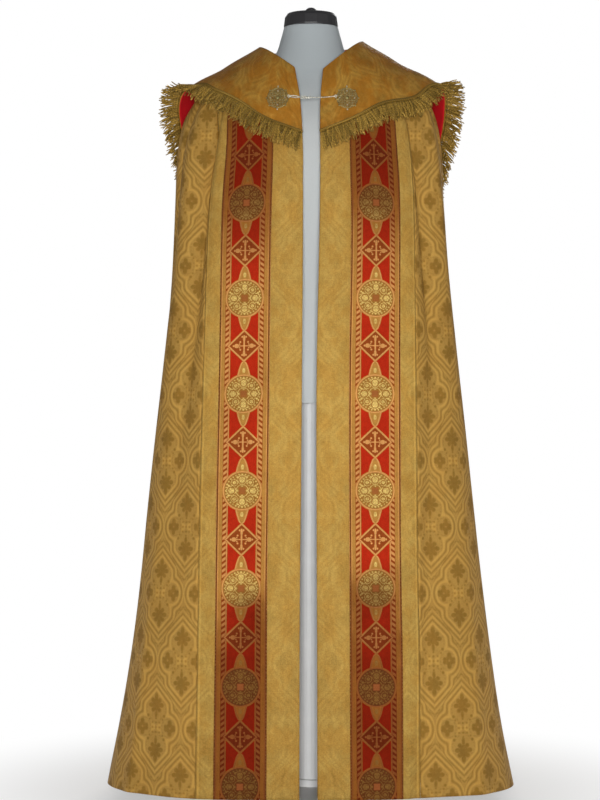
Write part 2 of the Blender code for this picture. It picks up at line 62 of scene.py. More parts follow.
# The mantle's rings, from the neckline to the hem, in metres, as they are in the part.
SECTIONS = [
    # front_z  side_z  back_z  half_width  front  back  squareness  half_gap  centre
    (1.410, 1.502, 1.500, 0.102, 0.146, 0.084, 2.0, 0.0270, -0.0040),  # neck
    (1.362, 1.463, 1.457, 0.160, 0.158, 0.122, 2.1, 0.0200, -0.0015),  # yoke
    (1.312, 1.421, 1.404, 0.214, 0.166, 0.148, 2.3, 0.0175, 0.0000),  # shoulder
    (1.262, 1.366, 1.342, 0.246, 0.172, 0.162, 2.5, 0.0165, 0.0010),  # upper arm
    (1.205, 1.298, 1.268, 0.260, 0.178, 0.174, 2.6, 0.0165, 0.0010),  # armpit
    (1.130, 1.185, 1.165, 0.267, 0.187, 0.192, 2.7, 0.0160, 0.0005),  # chest
    (1.010, 1.030, 1.020, 0.276, 0.200, 0.216, 2.8, 0.0150, -0.0010),  # waist
    (0.870, 0.870, 0.870, 0.291, 0.215, 0.242, 2.9, 0.0140, -0.0030),  # hip
    (0.725, 0.725, 0.725, 0.306, 0.230, 0.268, 3.0, 0.0140, -0.0040),  # seat
    (0.580, 0.580, 0.580, 0.320, 0.244, 0.292, 3.1, 0.0148, -0.0045),  # thigh
    (0.440, 0.440, 0.440, 0.334, 0.257, 0.315, 3.2, 0.0158, -0.0050),  # knee
    (0.300, 0.300, 0.300, 0.351, 0.270, 0.338, 3.3, 0.0164, -0.0050),  # calf
    (0.160, 0.160, 0.160, 0.372, 0.281, 0.360, 3.3, 0.0166, -0.0050),  # ankle
    (0.035, 0.035, 0.035, 0.396, 0.290, 0.380, 3.3, 0.0170, -0.0050),  # hem
]
HEM = len(SECTIONS) - 1
RING_STEP = 0.05
SHARES = np.linspace(0.0, 1.0, 421)

# place is the share of the way from the band's seam (0) to the centre back (1). depth is how far
# a ridge stands out, or a trough goes in if it is negative. Each is given at the top and the hem.
# The fold starts at first_ring and has died away by last_ring.
FOLDS = [
    # side  place x2  width x2  depth x2  first_ring  last_ring
    (RIGHT, 0.02, 0.10, 0.030, 0.060, -0.010, -0.004, 2.0, HEM),  # band seam trough
    (RIGHT, 0.16, 0.26, 0.040, 0.085, 0.006, 0.008, 3.0, HEM),  # side front ridge
    (RIGHT, 0.30, 0.39, 0.035, 0.070, -0.004, -0.018, 4.0, HEM),  # side trough
    (RIGHT, 0.44, 0.54, 0.045, 0.075, 0.004, 0.004, 4.0, HEM),  # side back ridge
    (RIGHT, 0.58, 0.67, 0.040, 0.065, -0.003, -0.026, 5.0, HEM),  # back trough
    (RIGHT, 0.72, 0.80, 0.045, 0.070, 0.003, 0.028, 5.0, HEM),  # back ridge
    (RIGHT, 0.86, 0.91, 0.035, 0.050, -0.003, -0.022, 5.0, HEM),  # inner back trough
    (LEFT, 0.05, 0.04, 0.035, 0.050, -0.006, -0.008, 2.5, HEM),  # band seam trough
    (LEFT, 0.19, 0.22, 0.040, 0.080, 0.003, 0.010, 3.0, HEM),  # side front ridge
    (LEFT, 0.32, 0.37, 0.040, 0.070, -0.005, -0.018, 4.0, HEM),  # side trough
    (LEFT, 0.46, 0.51, 0.045, 0.080, 0.002, 0.024, 4.0, HEM),  # side back ridge
    (LEFT, 0.60, 0.65, 0.040, 0.065, -0.003, -0.028, 5.0, HEM),  # back trough
    (LEFT, 0.74, 0.79, 0.045, 0.070, 0.003, 0.026, 5.0, HEM),  # back ridge
    (LEFT, 0.88, 0.90, 0.035, 0.050, -0.003, -0.020, 5.0, HEM),  # inner back trough
    (RIGHT, 1.00, 1.00, 0.045, 0.070, 0.003, 0.024, 5.0, HEM),  # centre back ridge
    (LEFT, 1.00, 1.00, 0.045, 0.070, 0.003, 0.024, 5.0, HEM),  # centre back ridge
]
# Finer creases that only the cloth shows, in the same columns.
CREASES = [
    (RIGHT, -0.045, 0.110, 0.0080, 0.020, -0.0155, -0.0065, 1.2, 10.0),  # valley from the shoulder
    (RIGHT, 0.045, 0.190, 0.0130, 0.026, 0.0062, 0.0040, 1.2, 10.0),  # roll outside it
    (RIGHT, 0.130, 0.270, 0.0085, 0.020, -0.0100, -0.0045, 1.4, 9.5),
    (RIGHT, 0.240, 0.300, 0.0120, 0.022, 0.0045, 0.0015, 1.8, 9.5),
    (RIGHT, 0.125, 0.150, 0.0160, 0.018, 0.0008, 0.0042, 7.0, HEM),
    (RIGHT, 0.320, 0.330, 0.0150, 0.020, -0.0020, -0.0085, 6.0, HEM),
    (RIGHT, 0.500, 0.470, 0.0150, 0.022, 0.0030, 0.0040, 4.0, HEM),
    (RIGHT, 0.630, 0.730, 0.0140, 0.020, -0.0040, -0.0100, 5.0, HEM),
    (RIGHT, 0.800, 0.860, 0.0120, 0.020, 0.0020, 0.0050, 6.5, HEM),
    (LEFT, -0.020, 0.120, 0.0085, 0.018, -0.0145, -0.0065, 1.2, 9.5),  # valley from the shoulder
    (LEFT, 0.090, 0.190, 0.0120, 0.022, 0.0060, 0.0045, 1.3, 10.0),  # roll outside it
    (LEFT, 0.190, 0.270, 0.0090, 0.020, -0.0095, -0.0050, 1.6, 9.5),
    (LEFT, 0.090, -0.010, 0.0120, 0.016, -0.0020, -0.0045, 4.5, HEM),  # crease beside the band
    (LEFT, 0.150, 0.125, 0.0160, 0.020, 0.0010, 0.0040, 7.5, HEM),
    (LEFT, 0.300, 0.315, 0.0150, 0.020, -0.0020, -0.0080, 7.0, HEM),
    (LEFT, 0.520, 0.450, 0.0150, 0.022, 0.0030, 0.0040, 4.5, HEM),
    (LEFT, 0.660, 0.710, 0.0140, 0.020, -0.0040, -0.0095, 5.0, HEM),
    (LEFT, 0.820, 0.850, 0.0120, 0.020, 0.0020, 0.0050, 7.0, HEM),
]

# The hood's lower edge. place is the share of the way from the front edge (0) to the back (1).
HOOD_EDGE = [
    # place  edge_ring  lift_mid  lift_edge
    (0.00, 2.30, 0.0060, 0.0075),  # lappet point
    (0.12, 2.36, 0.0065, 0.0085),  # lappet inner
    (0.22, 2.15, 0.0075, 0.0100),  # lappet middle
    (0.32, 2.08, 0.0085, 0.0120),  # lappet outer
    (0.40, 2.06, 0.0090, 0.0180),  # lappet corner
    (0.49, 2.50, 0.0095, 0.0300),  # shoulder
    (0.57, 3.30, 0.0110, 0.0240),  # shield top
    (0.64, 4.50, 0.0130, 0.0170),  # shield side
    (0.74, 5.70, 0.0140, 0.0180),  # shield low side
    (0.87, 6.45, 0.0150, 0.0180),  # shield lower
    (1.00, 6.75, 0.0130, 0.0150),  # shield point
]

TORSO_SECTIONS = [
    # z  half_width  front  back
    (0.785, 0.160, 0.107, 0.107),  # underside rim
    (0.789, 0.160, 0.107, 0.107),  # hip edge
    (0.880, 0.166, 0.112, 0.116),  # hip
    (1.040, 0.142, 0.100, 0.098),  # waist
    (1.150, 0.160, 0.116, 0.110),  # ribs
    (1.250, 0.184, 0.124, 0.120),  # chest
    (1.320, 0.196, 0.112, 0.112),  # upper chest
    (1.370, 0.196, 0.092, 0.092),  # arm end
    (1.400, 0.184, 0.076, 0.076),  # shoulder tip
    (1.424, 0.156, 0.064, 0.066),  # shoulder
    (1.446, 0.122, 0.058, 0.062),  # shoulder top
    (1.466, 0.090, 0.058, 0.062),  # neck foot
    (1.488, 0.070, 0.058, 0.060),  # neck base
    (1.515, 0.061, 0.056, 0.057),  # neck
    (1.5385, 0.0545, 0.0530, 0.0530),  # neck top
]


class CopeSizes(bpy.types.PropertyGroup):
    """Sizes of the cut and the trimmings."""

    band_width: bpy.props.FloatProperty(
        name="Band width", description="Width of the plain band down each front edge",
        default=0.197, unit="LENGTH",
    )
    plain_width: bpy.props.FloatProperty(
        name="Plain width", description="From the front edge to the galloon",
        default=0.062, unit="LENGTH",
    )
    galloon_width: bpy.props.FloatProperty(
        name="Galloon width", description="Width of the woven galloon",
        default=0.100, unit="LENGTH",
    )
    cloth_thickness: bpy.props.FloatProperty(
        name="Cloth thickness", description="Thickness of the damask",
        default=0.0018, unit="LENGTH",
    )
    crease_depth: bpy.props.FloatProperty(
        name="Crease depth", description="How strongly the finer creases show",
        default=1.2, min=0.0, max=1.5,
    )
    fringe_length: bpy.props.FloatProperty(
        name="Fringe length", description="Length of the fringe below its header",
        default=0.038, unit="LENGTH",
    )
    strand_spacing: bpy.props.FloatProperty(
        name="Strand spacing", description="Distance between fringe strands",
        default=0.0027, unit="LENGTH",
    )


class CopeColours(bpy.types.PropertyGroup):
    """Colours of the cloths, the threads and the metal."""

    ground: bpy.props.FloatVectorProperty(
        name="Damask ground", description="Light gold ground",
        default=(0.342, 0.194, 0.043), size=3, subtype="COLOR",
    )
    figure: bpy.props.FloatVectorProperty(
        name="Damask figure", description="Olive gold figure",
        default=(0.205, 0.108, 0.018), size=3, subtype="COLOR",
    )
    hood_ground: bpy.props.FloatVectorProperty(
        name="Hood ground", description="Deeper gold of the hood",
        default=(0.325, 0.170, 0.027), size=3, subtype="COLOR",
    )
    # Lighter than the mantle's ground partly as painted sheen, where the bands face the light.
    band_ground: bpy.props.FloatVectorProperty(
        name="Band ground", description="Light gold of the front bands",
        default=(0.395, 0.243, 0.056), size=3, subtype="COLOR",
    )
    galloon_red: bpy.props.FloatVectorProperty(
        name="Galloon red", description="Red fields",
        default=(0.400, 0.019, 0.006), size=3, subtype="COLOR",
    )
    galloon_gold: bpy.props.FloatVectorProperty(
        name="Galloon gold", description="Bright metal thread",
        default=(0.740, 0.540, 0.165), size=3, subtype="COLOR",
    )
    satin: bpy.props.FloatVectorProperty(
        name="Lining satin", description="Red satin under the hood",
        default=(0.62, 0.013, 0.020), size=3, subtype="COLOR",
    )
    fringe: bpy.props.FloatVectorProperty(
        name="Fringe", description="Antique gold thread",
        default=(0.375, 0.228, 0.042), size=3, subtype="COLOR",
    )
    metal: bpy.props.FloatVectorProperty(
        name="Clasp metal", description="Antique gilt",
        default=(0.40, 0.355, 0.155), size=3, subtype="COLOR",
    )
    cover: bpy.props.FloatVectorProperty(
        name="Form cover", description="White jersey",
        default=(0.66, 0.69, 0.69), size=3, subtype="COLOR",
    )


class StageLight(bpy.types.PropertyGroup):
    """Light and background."""

    key: bpy.props.FloatProperty(
        name="Key light", description="Power of the front light", default=25.0, unit="POWER"
    )
    fill: bpy.props.FloatProperty(
        name="Side light", description="Power of the side lights", default=4.5, unit="POWER"
    )
    back: bpy.props.FloatProperty(
        name="Back light", description="Power of the back light", default=90.0, unit="POWER"
    )
    room: bpy.props.FloatProperty(
        name="Room light", description="Strength of the even light", default=0.26, min=0.0
    )


# ---- the mantle's form
def smooth_step(t):
    t = np.clip(t, 0.0, 1.0)
    return t * t * (3.0 - 2.0 * t)


def unit(vectors):
    return vectors / np.maximum(np.linalg.norm(vectors, axis=-1, keepdims=True), 1e-12)


def arc_lengths(points, axis=0):
    """Lengths along lines of points, counted from the first point of each."""
    steps = np.linalg.norm(np.diff(points, axis=axis), axis=-1)
    start = np.zeros_like(np.take(steps, [0], axis))
    return np.concatenate([start, np.cumsum(steps, axis)], axis)


def bump(distance, width):
    return np.exp(-((distance / width) ** 2))


def through_rows(rows, at):
    """Smooth curves through the rows of a table, read at fractional row numbers."""
    table = np.array(rows, float)
    last = len(table) - 1
    at = np.clip(np.asarray(at, float), 0.0, last)
    i = np.minimum(at.astype(int), last - 1)
    t = (at - i)[..., None]
    before = table[np.maximum(i - 1, 0)]
    after = table[np.minimum(i + 2, last)]
    slope_a = (table[i + 1] - before) / np.where(i > 0, 2.0, 1.0)[..., None]
    slope_b = (after - table[i]) / np.where(i + 2 <= last, 2.0, 1.0)[..., None]
    return (
        (2 * t**3 - 3 * t**2 + 1) * table[i]
        + (t**3 - 2 * t**2 + t) * slope_a
        + (3 * t**2 - 2 * t**3) * table[i + 1]
        + (t**3 - t**2) * slope_b
    )


def fold_field(rows, side, place, v, length):
    """How far the folds of a table move the cloth out. length is the cloth's from the band on."""
    total = np.zeros_like(place)
    for fold_side, top, hem, width_top, width_hem, depth_top, depth_hem, first, last in rows:
        if fold_side != side:
            continue
        down = np.clip((v - first) / (last - first), 0.0, 1.0)
        grown = smooth_step((v - first) / 1.5)
        if last < HEM:
            grown = grown * smooth_step((last - v) / ((last - first) * 0.55))
        distance = (place - top - (hem - top) * down) * length
        depth = depth_top + (depth_hem - depth_top) * down
        total += depth * grown * bump(distance, width_top + (width_hem - width_top) * down)
    return total


def wander(a, b, seed):
    """A slow uneven wave over two coordinates, between about -1 and 1."""
    random = np.random.default_rng(seed)
    total = np.zeros_like(a)
    for _ in range(7):
        fa, fb = random.uniform(-1.0, 1.0, 2)
        total += np.sin(TURN * (a * fa + b * fb) + random.uniform(0, TURN))
    return total / 4.0


class Mantle:
    """The mantle's middle surface, tabled finely enough to read points and normals anywhere."""

    def __init__(self, sizes):
        self.band = sizes.band_width
        self.rings = np.arange(0.0, HEM + RING_STEP / 2, RING_STEP)
        self.plain, self.folded, self.length, self.rise, self.across = {}, {}, {}, {}, {}
        for side in (RIGHT, LEFT):
            points, self.length[side] = self.base(side)
            self.plain[side] = (points, self.normals(points, side))
            self.rise[side] = self.heights(points)
            points = points + self.outward(points, side) * self.folds(side, sizes)[..., None]
            self.folded[side] = (points, self.normals(points, side))
            self.across[side] = arc_lengths(points, 1)

    def base(self, side):
        """The surface without its folds, and the length of each ring."""
        front_z, side_z, back_z, width, front, back, square, half_gap, centre = (
            through_rows(SECTIONS, self.rings)[:, i : i + 1] for i in range(9)
        )
        if side == RIGHT:
            fade = smooth_step((self.rings[:, None] - 2.5) / 1.5)
            side_z = side_z - SHOULDER_DROP * (1.0 - fade)
        angle = np.linspace(0.0, math.pi, 1201)[None, :]
        ahead = angle < math.pi / 2
        power = np.where(ahead, 2.0 / square, 2.0 / 2.25)
        x = width * np.abs(np.sin(angle)) ** power
        y = np.where(ahead, -front, back) * np.abs(np.cos(angle)) ** power
        z = side_z + (np.where(ahead, front_z, back_z) - side_z) * (1.0 - x / width)
        edge = (half_gap + side * centre)[:, 0]
        points = np.empty((len(self.rings), len(SHARES), 3))
        lengths = np.empty(len(self.rings))
        for i, line in enumerate(np.stack([x, y, z], -1)):
            first = int(np.argmax(line[:, 0] > edge[i]))
            before, after = line[first - 1], line[first]
            start = before + (edge[i] - before[0]) / (after[0] - before[0]) * (after - before)
            line = np.vstack([start, line[first:]])
            arc = arc_lengths(line)
            lengths[i] = arc[-1]
            for k in range(3):
                points[i, :, k] = np.interp(SHARES * arc[-1], arc, line[:, k])
        points[..., 0] *= side
        return points, lengths

    def outward(self, points, side):
        """The level direction in which a fold stands out."""
        out = np.gradient(points, axis=1)
        out = np.stack([-out[..., 1], out[..., 0], np.zeros_like(out[..., 0])], -1)
        out = unit(out * -side)
        out[:, -1] = (0.0, 1.0, 0.0)
        return out

    def folds(self, side, sizes):
        """How far the folds, the creases and the slow sway move the cloth out."""
        lengths = self.length[side][:, None]
        s = SHARES[None, :] * lengths
        v = np.repeat(self.rings[:, None], len(SHARES), 1)
        place = (s - self.band) / (lengths - self.band)
        deep = fold_field(FOLDS, side, place, v, lengths - self.band)
        fine = fold_field(CREASES, side, place, v, lengths - self.band) * sizes.crease_depth
        # The bands are stiff and hang flat; the creases may run a little way into them.
        moved = deep * smooth_step((s - self.band * 0.86) / 0.05)
        moved += fine * smooth_step((s - self.band * 0.80) / 0.03)
        hang = smooth_step((v - 2.0) / 3.0) * smooth_step((1.0 - SHARES)[None, :] / 0.06)
        moved += 0.0016 * hang * wander(s * 5.0, v * 0.35, 11 + side)
        sway = bump(s - 0.11, 0.12) * smooth_step((v - 3.5) / 3.0)
        return moved + sway * 0.0034 * np.sin(v * 1.55 + 0.7 * side + s * 9.0)

    def heights(self, points):
        """Length of cloth from each point down to the hem, square to the rings."""
        step = np.diff(points, axis=0)
        along = unit(np.gradient((points[1:] + points[:-1]) / 2, axis=1))
        square = step - along * np.sum(step * along, -1, keepdims=True)
        rise = np.linalg.norm(square, axis=-1)
        return np.concatenate([np.cumsum(rise[::-1], 0)[::-1], np.zeros((1, len(SHARES)))])

    def normals(self, points, side):
        across = np.gradient(points, axis=1)
        across[:, -1] = (-side, 0.0, 0.0)
        normal = unit(np.cross(across, np.gradient(points, axis=0)) * -side)
        normal[:, -1, 0] = 0.0
        return unit(normal)

    def ring_length(self, side, v):
        return np.interp(v, self.rings, self.length[side])

    def read(self, grid, share, v):
        """A tabled grid read between its entries, at shares (0 to 1) and rings."""
        a = np.clip(v / RING_STEP, 0, len(self.rings) - 1.000001)
        b = np.clip(share * (len(SHARES) - 1), 0, len(SHARES) - 1.000001)
        i, j = a.astype(int), b.astype(int)
        a, b = a - i, b - j
        if grid.ndim == 3:
            a, b = a[..., None], b[..., None]
        upper = grid[i, j] * (1 - b) + grid[i, j + 1] * b
        lower = grid[i + 1, j] * (1 - b) + grid[i + 1, j + 1] * b
        return upper * (1 - a) + lower * a

    def at(self, side, share, v, height=0.0, folded=True):
        """Points that stand height out from the cloth's middle surface."""
        points, normals = (self.folded if folded else self.plain)[side]
        normal = unit(self.read(normals, share, v))
        return self.read(points, share, v) + normal * np.asarray(height)[..., None]

    def cloth_place(self, side, share, v):
        """Lengths of cloth across from the front edge and up from the hem."""
        return np.stack([self.read(grid[side], share, v) for grid in (self.across, self.rise)], -1)


# ---- meshes
def link(name, data):
    piece = bpy.data.objects.new(name, data)
    bpy.context.scene.collection.objects.link(piece)
    return piece


def make_piece(name, points, faces, materials, uvs=None, slots=None):
    """A smooth mesh. faces is an array or a list of lists; uvs has a pair for each corner."""
    data = bpy.data.meshes.new(name)
    points = np.asarray(points, np.float32).reshape(-1, 3)
    if isinstance(faces, np.ndarray):
        sizes = np.full(len(faces), faces.shape[1])
        corners = faces.ravel()
    else:
        sizes = np.array([len(face) for face in faces])
        corners = np.concatenate(faces)
    data.vertices.add(len(points))
    data.vertices.foreach_set("co", points.ravel())
    data.loops.add(len(corners))
    data.loops.foreach_set("vertex_index", corners.astype(np.int32))
    data.polygons.add(len(faces))
    data.polygons.foreach_set("loop_start", (np.cumsum(sizes) - sizes).astype(np.int32))
    data.polygons.foreach_set("use_smooth", np.full(len(faces), True))
    if slots is not None:
        data.polygons.foreach_set("material_index", np.asarray(slots, np.int32))
    data.update(calc_edges=True)
    if uvs is not None:
        layer = data.uv_layers.new(name="Cloth")
        layer.uv.foreach_set("vector", np.asarray(uvs, np.float32).ravel())
    data.validate()
    for material in materials:
        data.materials.append(material)
    return link(name, data)


def grid_quads(rows, columns, first, flip):
    r, c = np.meshgrid(np.arange(rows - 1), np.arange(columns - 1), indexing="ij")
    a = (r * columns + c).ravel() + first
    quad = np.stack([a, a + columns, a + columns + 1, a + 1], 1)
    return quad[:, ::-1] if flip else quad


def cloth_piece(name, outer, inner, uv, materials, side=RIGHT):
    """A closed sheet between two grids, with the cloth's own lengths as its UV map."""
    rows, columns = outer.shape[:2]
    count = rows * columns
    flip = side == LEFT
    front = grid_quads(rows, columns, 0, flip)
    behind = grid_quads(rows, columns, count, not flip)
    number = np.arange(count).reshape(rows, columns)
    rim = np.concatenate([number[0], number[1:, -1], number[-1, -2::-1], number[-2:0:-1, 0]])
    ahead = np.roll(rim, -1)
    edge = np.stack([rim, ahead, ahead + count, rim + count], 1)
    faces = np.concatenate([front, behind, edge[:, ::-1] if flip else edge])
    flat = np.tile(uv.reshape(-1, 2), (2, 1))
    slots = np.zeros(len(faces))
    slots[len(front) : 2 * len(front)] = len(materials) - 1
    points = np.concatenate([outer.reshape(-1, 3), inner.reshape(-1, 3)])
    return make_piece(name, points, faces, materials, flat[faces.ravel()], slots)


def tube_points(spots, along, radius, sides):
    """Rings of points round the spots of one strand or of many."""
    helper = np.where(np.abs(along[..., 2:3]) < 0.9, [0.0, 0.0, 1.0], [1.0, 0.0, 0.0])
    first = unit(np.cross(along, helper))[..., None, :]
    second = np.cross(along, first[..., 0, :])[..., None, :]
    angle = (TURN * np.arange(sides) / sides)[:, None]
    return spots[..., None, :] + (first * np.cos(angle) + second * np.sin(angle)) * radius


def joined_tubes(name, paths, radii, material, sides=5):
    """Many round strands as one mesh. paths is (strands, points, 3), radii (strands, points)."""
    strands, steps = paths.shape[:2]
    along = unit(np.gradient(paths, axis=1))
    points = tube_points(paths, along, radii[:, :, None, None], sides)
    start = np.arange(strands)[:, None] * steps * sides
    i, j = np.meshgrid(np.arange(steps - 1), np.arange(sides), indexing="ij")
    a = i * sides + j
    b = i * sides + (j + 1) % sides
    quads = np.stack([a, a + sides, b + sides, b], -1).reshape(-1, 4)
    faces = (start[..., None] + quads).reshape(-1, 4)
    u = np.stack([j, j, j + 1, j + 1], -1).ravel() / sides
    w = np.stack([i, i + 1, i + 1, i], -1).ravel() / (steps - 1)
    # The whole part of u is the strand's number.
    uvs = np.tile(np.stack([u, w], -1), (strands, 1))
    uvs[:, 0] += np.repeat(np.arange(strands), len(u))
    round_end = np.arange(sides)
    caps = np.concatenate([start + round_end, start + (steps - 1) * sides + round_end[::-1]])
    cap_uv = np.zeros((len(caps) * sides, 2))
    cap_uv[:, 0] = np.repeat(np.tile(np.arange(strands), 2), sides) + 0.5
    uvs = np.concatenate([uvs, cap_uv])
    return make_piece(name, points, [*faces, *caps], [material], uvs)


def ride(piece, slot, *nodes):
    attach(piece, "root")
    if nodes:
        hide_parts(*nodes)
    return piece


# ---- materials
def add_node(tree, kind, inputs, **settings):
    """A new node. inputs pairs an input's name or number with a value, a Field or a socket."""
    node = tree.nodes.new("ShaderNode" + kind)
    for key, value in settings.items():
        setattr(node, key, value)
    for key, value in inputs.items():
        if isinstance(value, Field):
            value = value.socket
        if isinstance(value, bpy.types.NodeSocket):
            tree.links.new(value, node.inputs[key])
        else:
            node.inputs[key].default_value = value
    return node


class Field:
    """A value over the surface, written with ordinary arithmetic and made of math nodes."""

    def __init__(self, tree, socket):
        self.tree = tree
        self.socket = socket

    def op(self, operation, *others):
        inputs = dict(enumerate((self, *others)))
        node = add_node(self.tree, "Math", inputs, operation=operation)
        return Field(self.tree, node.outputs[0])

    def __add__(self, other):
        return self.op("ADD", other)

    def __sub__(self, other):
        return self.op("SUBTRACT", other)

    def __mul__(self, other):
        return self.op("MULTIPLY", other)

    def __rsub__(self, other):
        return (self * -1.0) + other

    def abs(self):
        return self.op("ABSOLUTE")

    def sine(self, period):
        return (self * (TURN / period)).op("SINE")

    def wrap(self, period):
        return self.op("WRAP", period / 2, -period / 2)

    def min(self, other):
        return self.op("MINIMUM", other)

    def max(self, other):
        return self.op("MAXIMUM", other)

    def below(self, limit, soft):
        """1 where the value is under limit, 0 where it is over, with a soft edge."""
        ends = {"From Min": limit - soft, "From Max": limit + soft, "To Min": 1.0, "To Max": 0.0}
        inputs = {"Value": self, **ends}
        node = add_node(self.tree, "MapRange", inputs, interpolation_type="SMOOTHSTEP")
        return Field(self.tree, node.outputs[0])

    def line(self, centre, half_width, soft):
        return (self - centre).abs().below(half_width, soft)

    def invert(self):
        return self.op("MULTIPLY_ADD", -1.0, 1.0)


class Spot:
    """A place on the pattern, in millimetres."""

    def __init__(self, x, y):
        self.tree = x.tree
        self.vector = add_node(self.tree, "CombineXYZ", {0: x, 1: y}).outputs[0]

    def blob(self, x, y, radius, radius_y=None):
        """Distance outside a disc or an ellipse, in millimetres."""
        source, flat = self.vector, 1.0
        if radius_y is not None:
            flat = radius / radius_y
            inputs = {0: source, 1: (1.0, flat, 1.0)}
            source = add_node(self.tree, "VectorMath", inputs, operation="MULTIPLY").outputs[0]
        inputs = {0: source, 1: (x, y * flat, 0.0)}
        node = add_node(self.tree, "VectorMath", inputs, operation="DISTANCE")
        return Field(self.tree, node.outputs["Value"]) - radius

    def blobs(self, rows):
        return union([self.blob(*row) for row in rows])


def union(fields):
    return functools.reduce(Field.min, fields)


def most(fields):
    return functools.reduce(Field.max, fields)


class Finish:
    """A material being made: its tree, its shader and the cloth's coordinates."""

    def __init__(self, name, roughness, metallic=0.0, sheen=0.0, specular=0.5, gloss=None):
        self.material = bpy.data.materials.new(name)
        self.material.use_nodes = True
        self.tree = self.material.node_tree
        self.shader = self.tree.nodes["Principled BSDF"]
        inputs = self.shader.inputs
        inputs["Roughness"].default_value = roughness
        inputs["Metallic"].default_value = metallic
        inputs["Specular IOR Level"].default_value = specular
        if gloss:
            inputs["Specular Tint"].default_value = (*gloss, 1.0)
        if sheen:
            inputs["Sheen Weight"].default_value = sheen
            inputs["Sheen Roughness"].default_value = 0.45

    def uv(self):
        node = add_node(self.tree, "UVMap", {}, uv_map="Cloth")
        split = add_node(self.tree, "SeparateXYZ", {0: node.outputs[0]})
        return Field(self.tree, split.outputs[0]), Field(self.tree, split.outputs[1])

    def cloth(self):
        """The cloth's own coordinates in millimetres."""
        return tuple(part * 1000.0 for part in self.uv())

    def noise(self, x, y, size_x, size_y, detail=2.0, roughness=0.5, seed=0.0):
        """Smooth noise over the cloth, from 0 to 1, with features of about these sizes."""
        inputs = {0: x * (1.0 / size_x), 1: y * (1.0 / size_y), 2: seed}
        place = add_node(self.tree, "CombineXYZ", inputs)
        return self.noise_at(place.outputs[0], 1.0, detail, roughness)

    def body_noise(self, size, detail=2.0, roughness=0.5):
        """Smooth noise through space, with features of about this size in millimetres."""
        place = add_node(self.tree, "TexCoord", {})
        return self.noise_at(place.outputs["Object"], 1000.0 / size, detail, roughness)

    def noise_at(self, place, scale, detail, roughness):
        inputs = {"Vector": place, "Scale": scale, "Detail": detail, "Roughness": roughness}
        return Field(self.tree, add_node(self.tree, "TexNoise", inputs).outputs[0])

    def blend(self, factor, under, over):
        """over laid on under by factor. Each is a colour or a colour socket."""
        sides = [(*c[:3], 1.0) if isinstance(c, (tuple, list)) else c for c in (under, over)]
        inputs = {0: factor, 6: sides[0], 7: sides[1]}
        return add_node(self.tree, "Mix", inputs, data_type="RGBA").outputs[2]

    def shade(self, colour, factor):
        """The colour made lighter or darker by a field around 1, as the surface's colour."""
        inputs = {0: colour, "Scale": factor}
        node = add_node(self.tree, "VectorMath", inputs, operation="SCALE")
        self.colour(node.outputs[0])

    def colour(self, socket):
        self.tree.links.new(socket, self.shader.inputs["Base Color"])

    def drive(self, name, field):
        self.tree.links.new(field.socket, self.shader.inputs[name])

    def relief(self, field, depth):
        """Bump from a field of 0 to 1, with depth in metres."""
        inputs = {"Strength": 1.0, "Distance": depth, "Height": field}
        node = add_node(self.tree, "Bump", inputs)
        self.tree.links.new(node.outputs[0], self.shader.inputs["Normal"])


def darker(colour, share):
    return tuple(c * share for c in colour[:3])


def threads(x, y, pitch):
    """A fine woven surface, from 0 to 1: ribs both ways."""
    return x.sine(pitch) * y.sine(pitch * 1.2) * 0.5 + 0.5


WARM_GLOSS = (1.0, 0.74, 0.30)
REPEAT_WIDTH = 114.0
REPEAT_HEIGHT = 256.0
# Each row is a blob of the damask's figure: x, y, radius and, for an ellipse, its other radius.
SPRIG = [
    (0.0, 43.0, 9.5, 12.0), (0.0, 57.0, 4.6, 9.0), (12.0, 42.0, 6.0, 4.6),
    (8.0, 51.0, 4.8), (7.5, 33.0, 4.4), (0.0, 26.0, 3.2, 8.0),
]
SIDE_SPRIG = [(32.5, 0.0, 9.0, 10.0), (32.5, 10.5, 4.6, 5.4), (23.5, 2.5, 4.4), (41.0, 2.5, 4.0)]
DOTS = [
    (0.0, 0.0, 2.4), (8.5, 0.0, 2.1), (0.0, 9.0, 2.1), (8.5, 9.0, 1.9),
    (0.0, 17.0, 1.8), (15.5, 15.0, 1.7), (19.0, 22.0, 2.8),
]


def damask_figure(x, y):
    """An ogee lattice with chevron lines, and four fleury sprigs in each lobed cell."""
    near = (x.wrap(REPEAT_WIDTH), y.wrap(REPEAT_HEIGHT))
    far = (
        (x + REPEAT_WIDTH / 2).wrap(REPEAT_WIDTH),
        (y + REPEAT_HEIGHT / 2).wrap(REPEAT_HEIGHT),
    )
    turn = near[1] * (TURN / REPEAT_HEIGHT)
    wide = turn.op("COSINE") * (REPEAT_WIDTH / 4) + REPEAT_WIDTH / 4
    first = (wide - near[0].abs()).below(0.0, 0.01).invert()
    cell_x, cell_y = (a.abs() * first + b.abs() * first.invert() for a, b in zip(near, far))
    spot = Spot(cell_x, cell_y)
    tip = (cell_x + (cell_y - 35.0).abs()) * 0.707 - 25.5
    side = spot.blob(28.5, 0.0, 19.0, 22.0)
    lobes = tip.op("SMOOTH_MAX", cell_x - 27.0, 6.0).op("SMOOTH_MIN", side, 9.0)
    eye = spot.blob(32.5, 0.0, 2.0).below(0.0, 1.5)
    shapes = spot.blobs(SPRIG + SIDE_SPRIG + DOTS).below(0.0, 1.9) * (eye * -0.6 + 1.0)
    broken = y.sine(6.5).below(-0.35, 0.5).invert()
    lines = most(
        [
            lobes.line(5.0, 1.5, 1.1),
            lobes.line(13.5, 1.5, 1.1),
            lobes.line(22.0, 1.6, 1.1) * (broken * 0.6 + 0.4),
            lobes.line(-4.5, 1.0, 1.0) * broken * 0.6,
        ]
    )
    outer = lobes.line(9.3, 1.6, 1.2) * 0.85
    light = most([lobes.line(0.3, 1.8, 1.3), outer, lobes.line(18.0, 1.2, 1.0) * 0.6])
    return shapes, lines, light


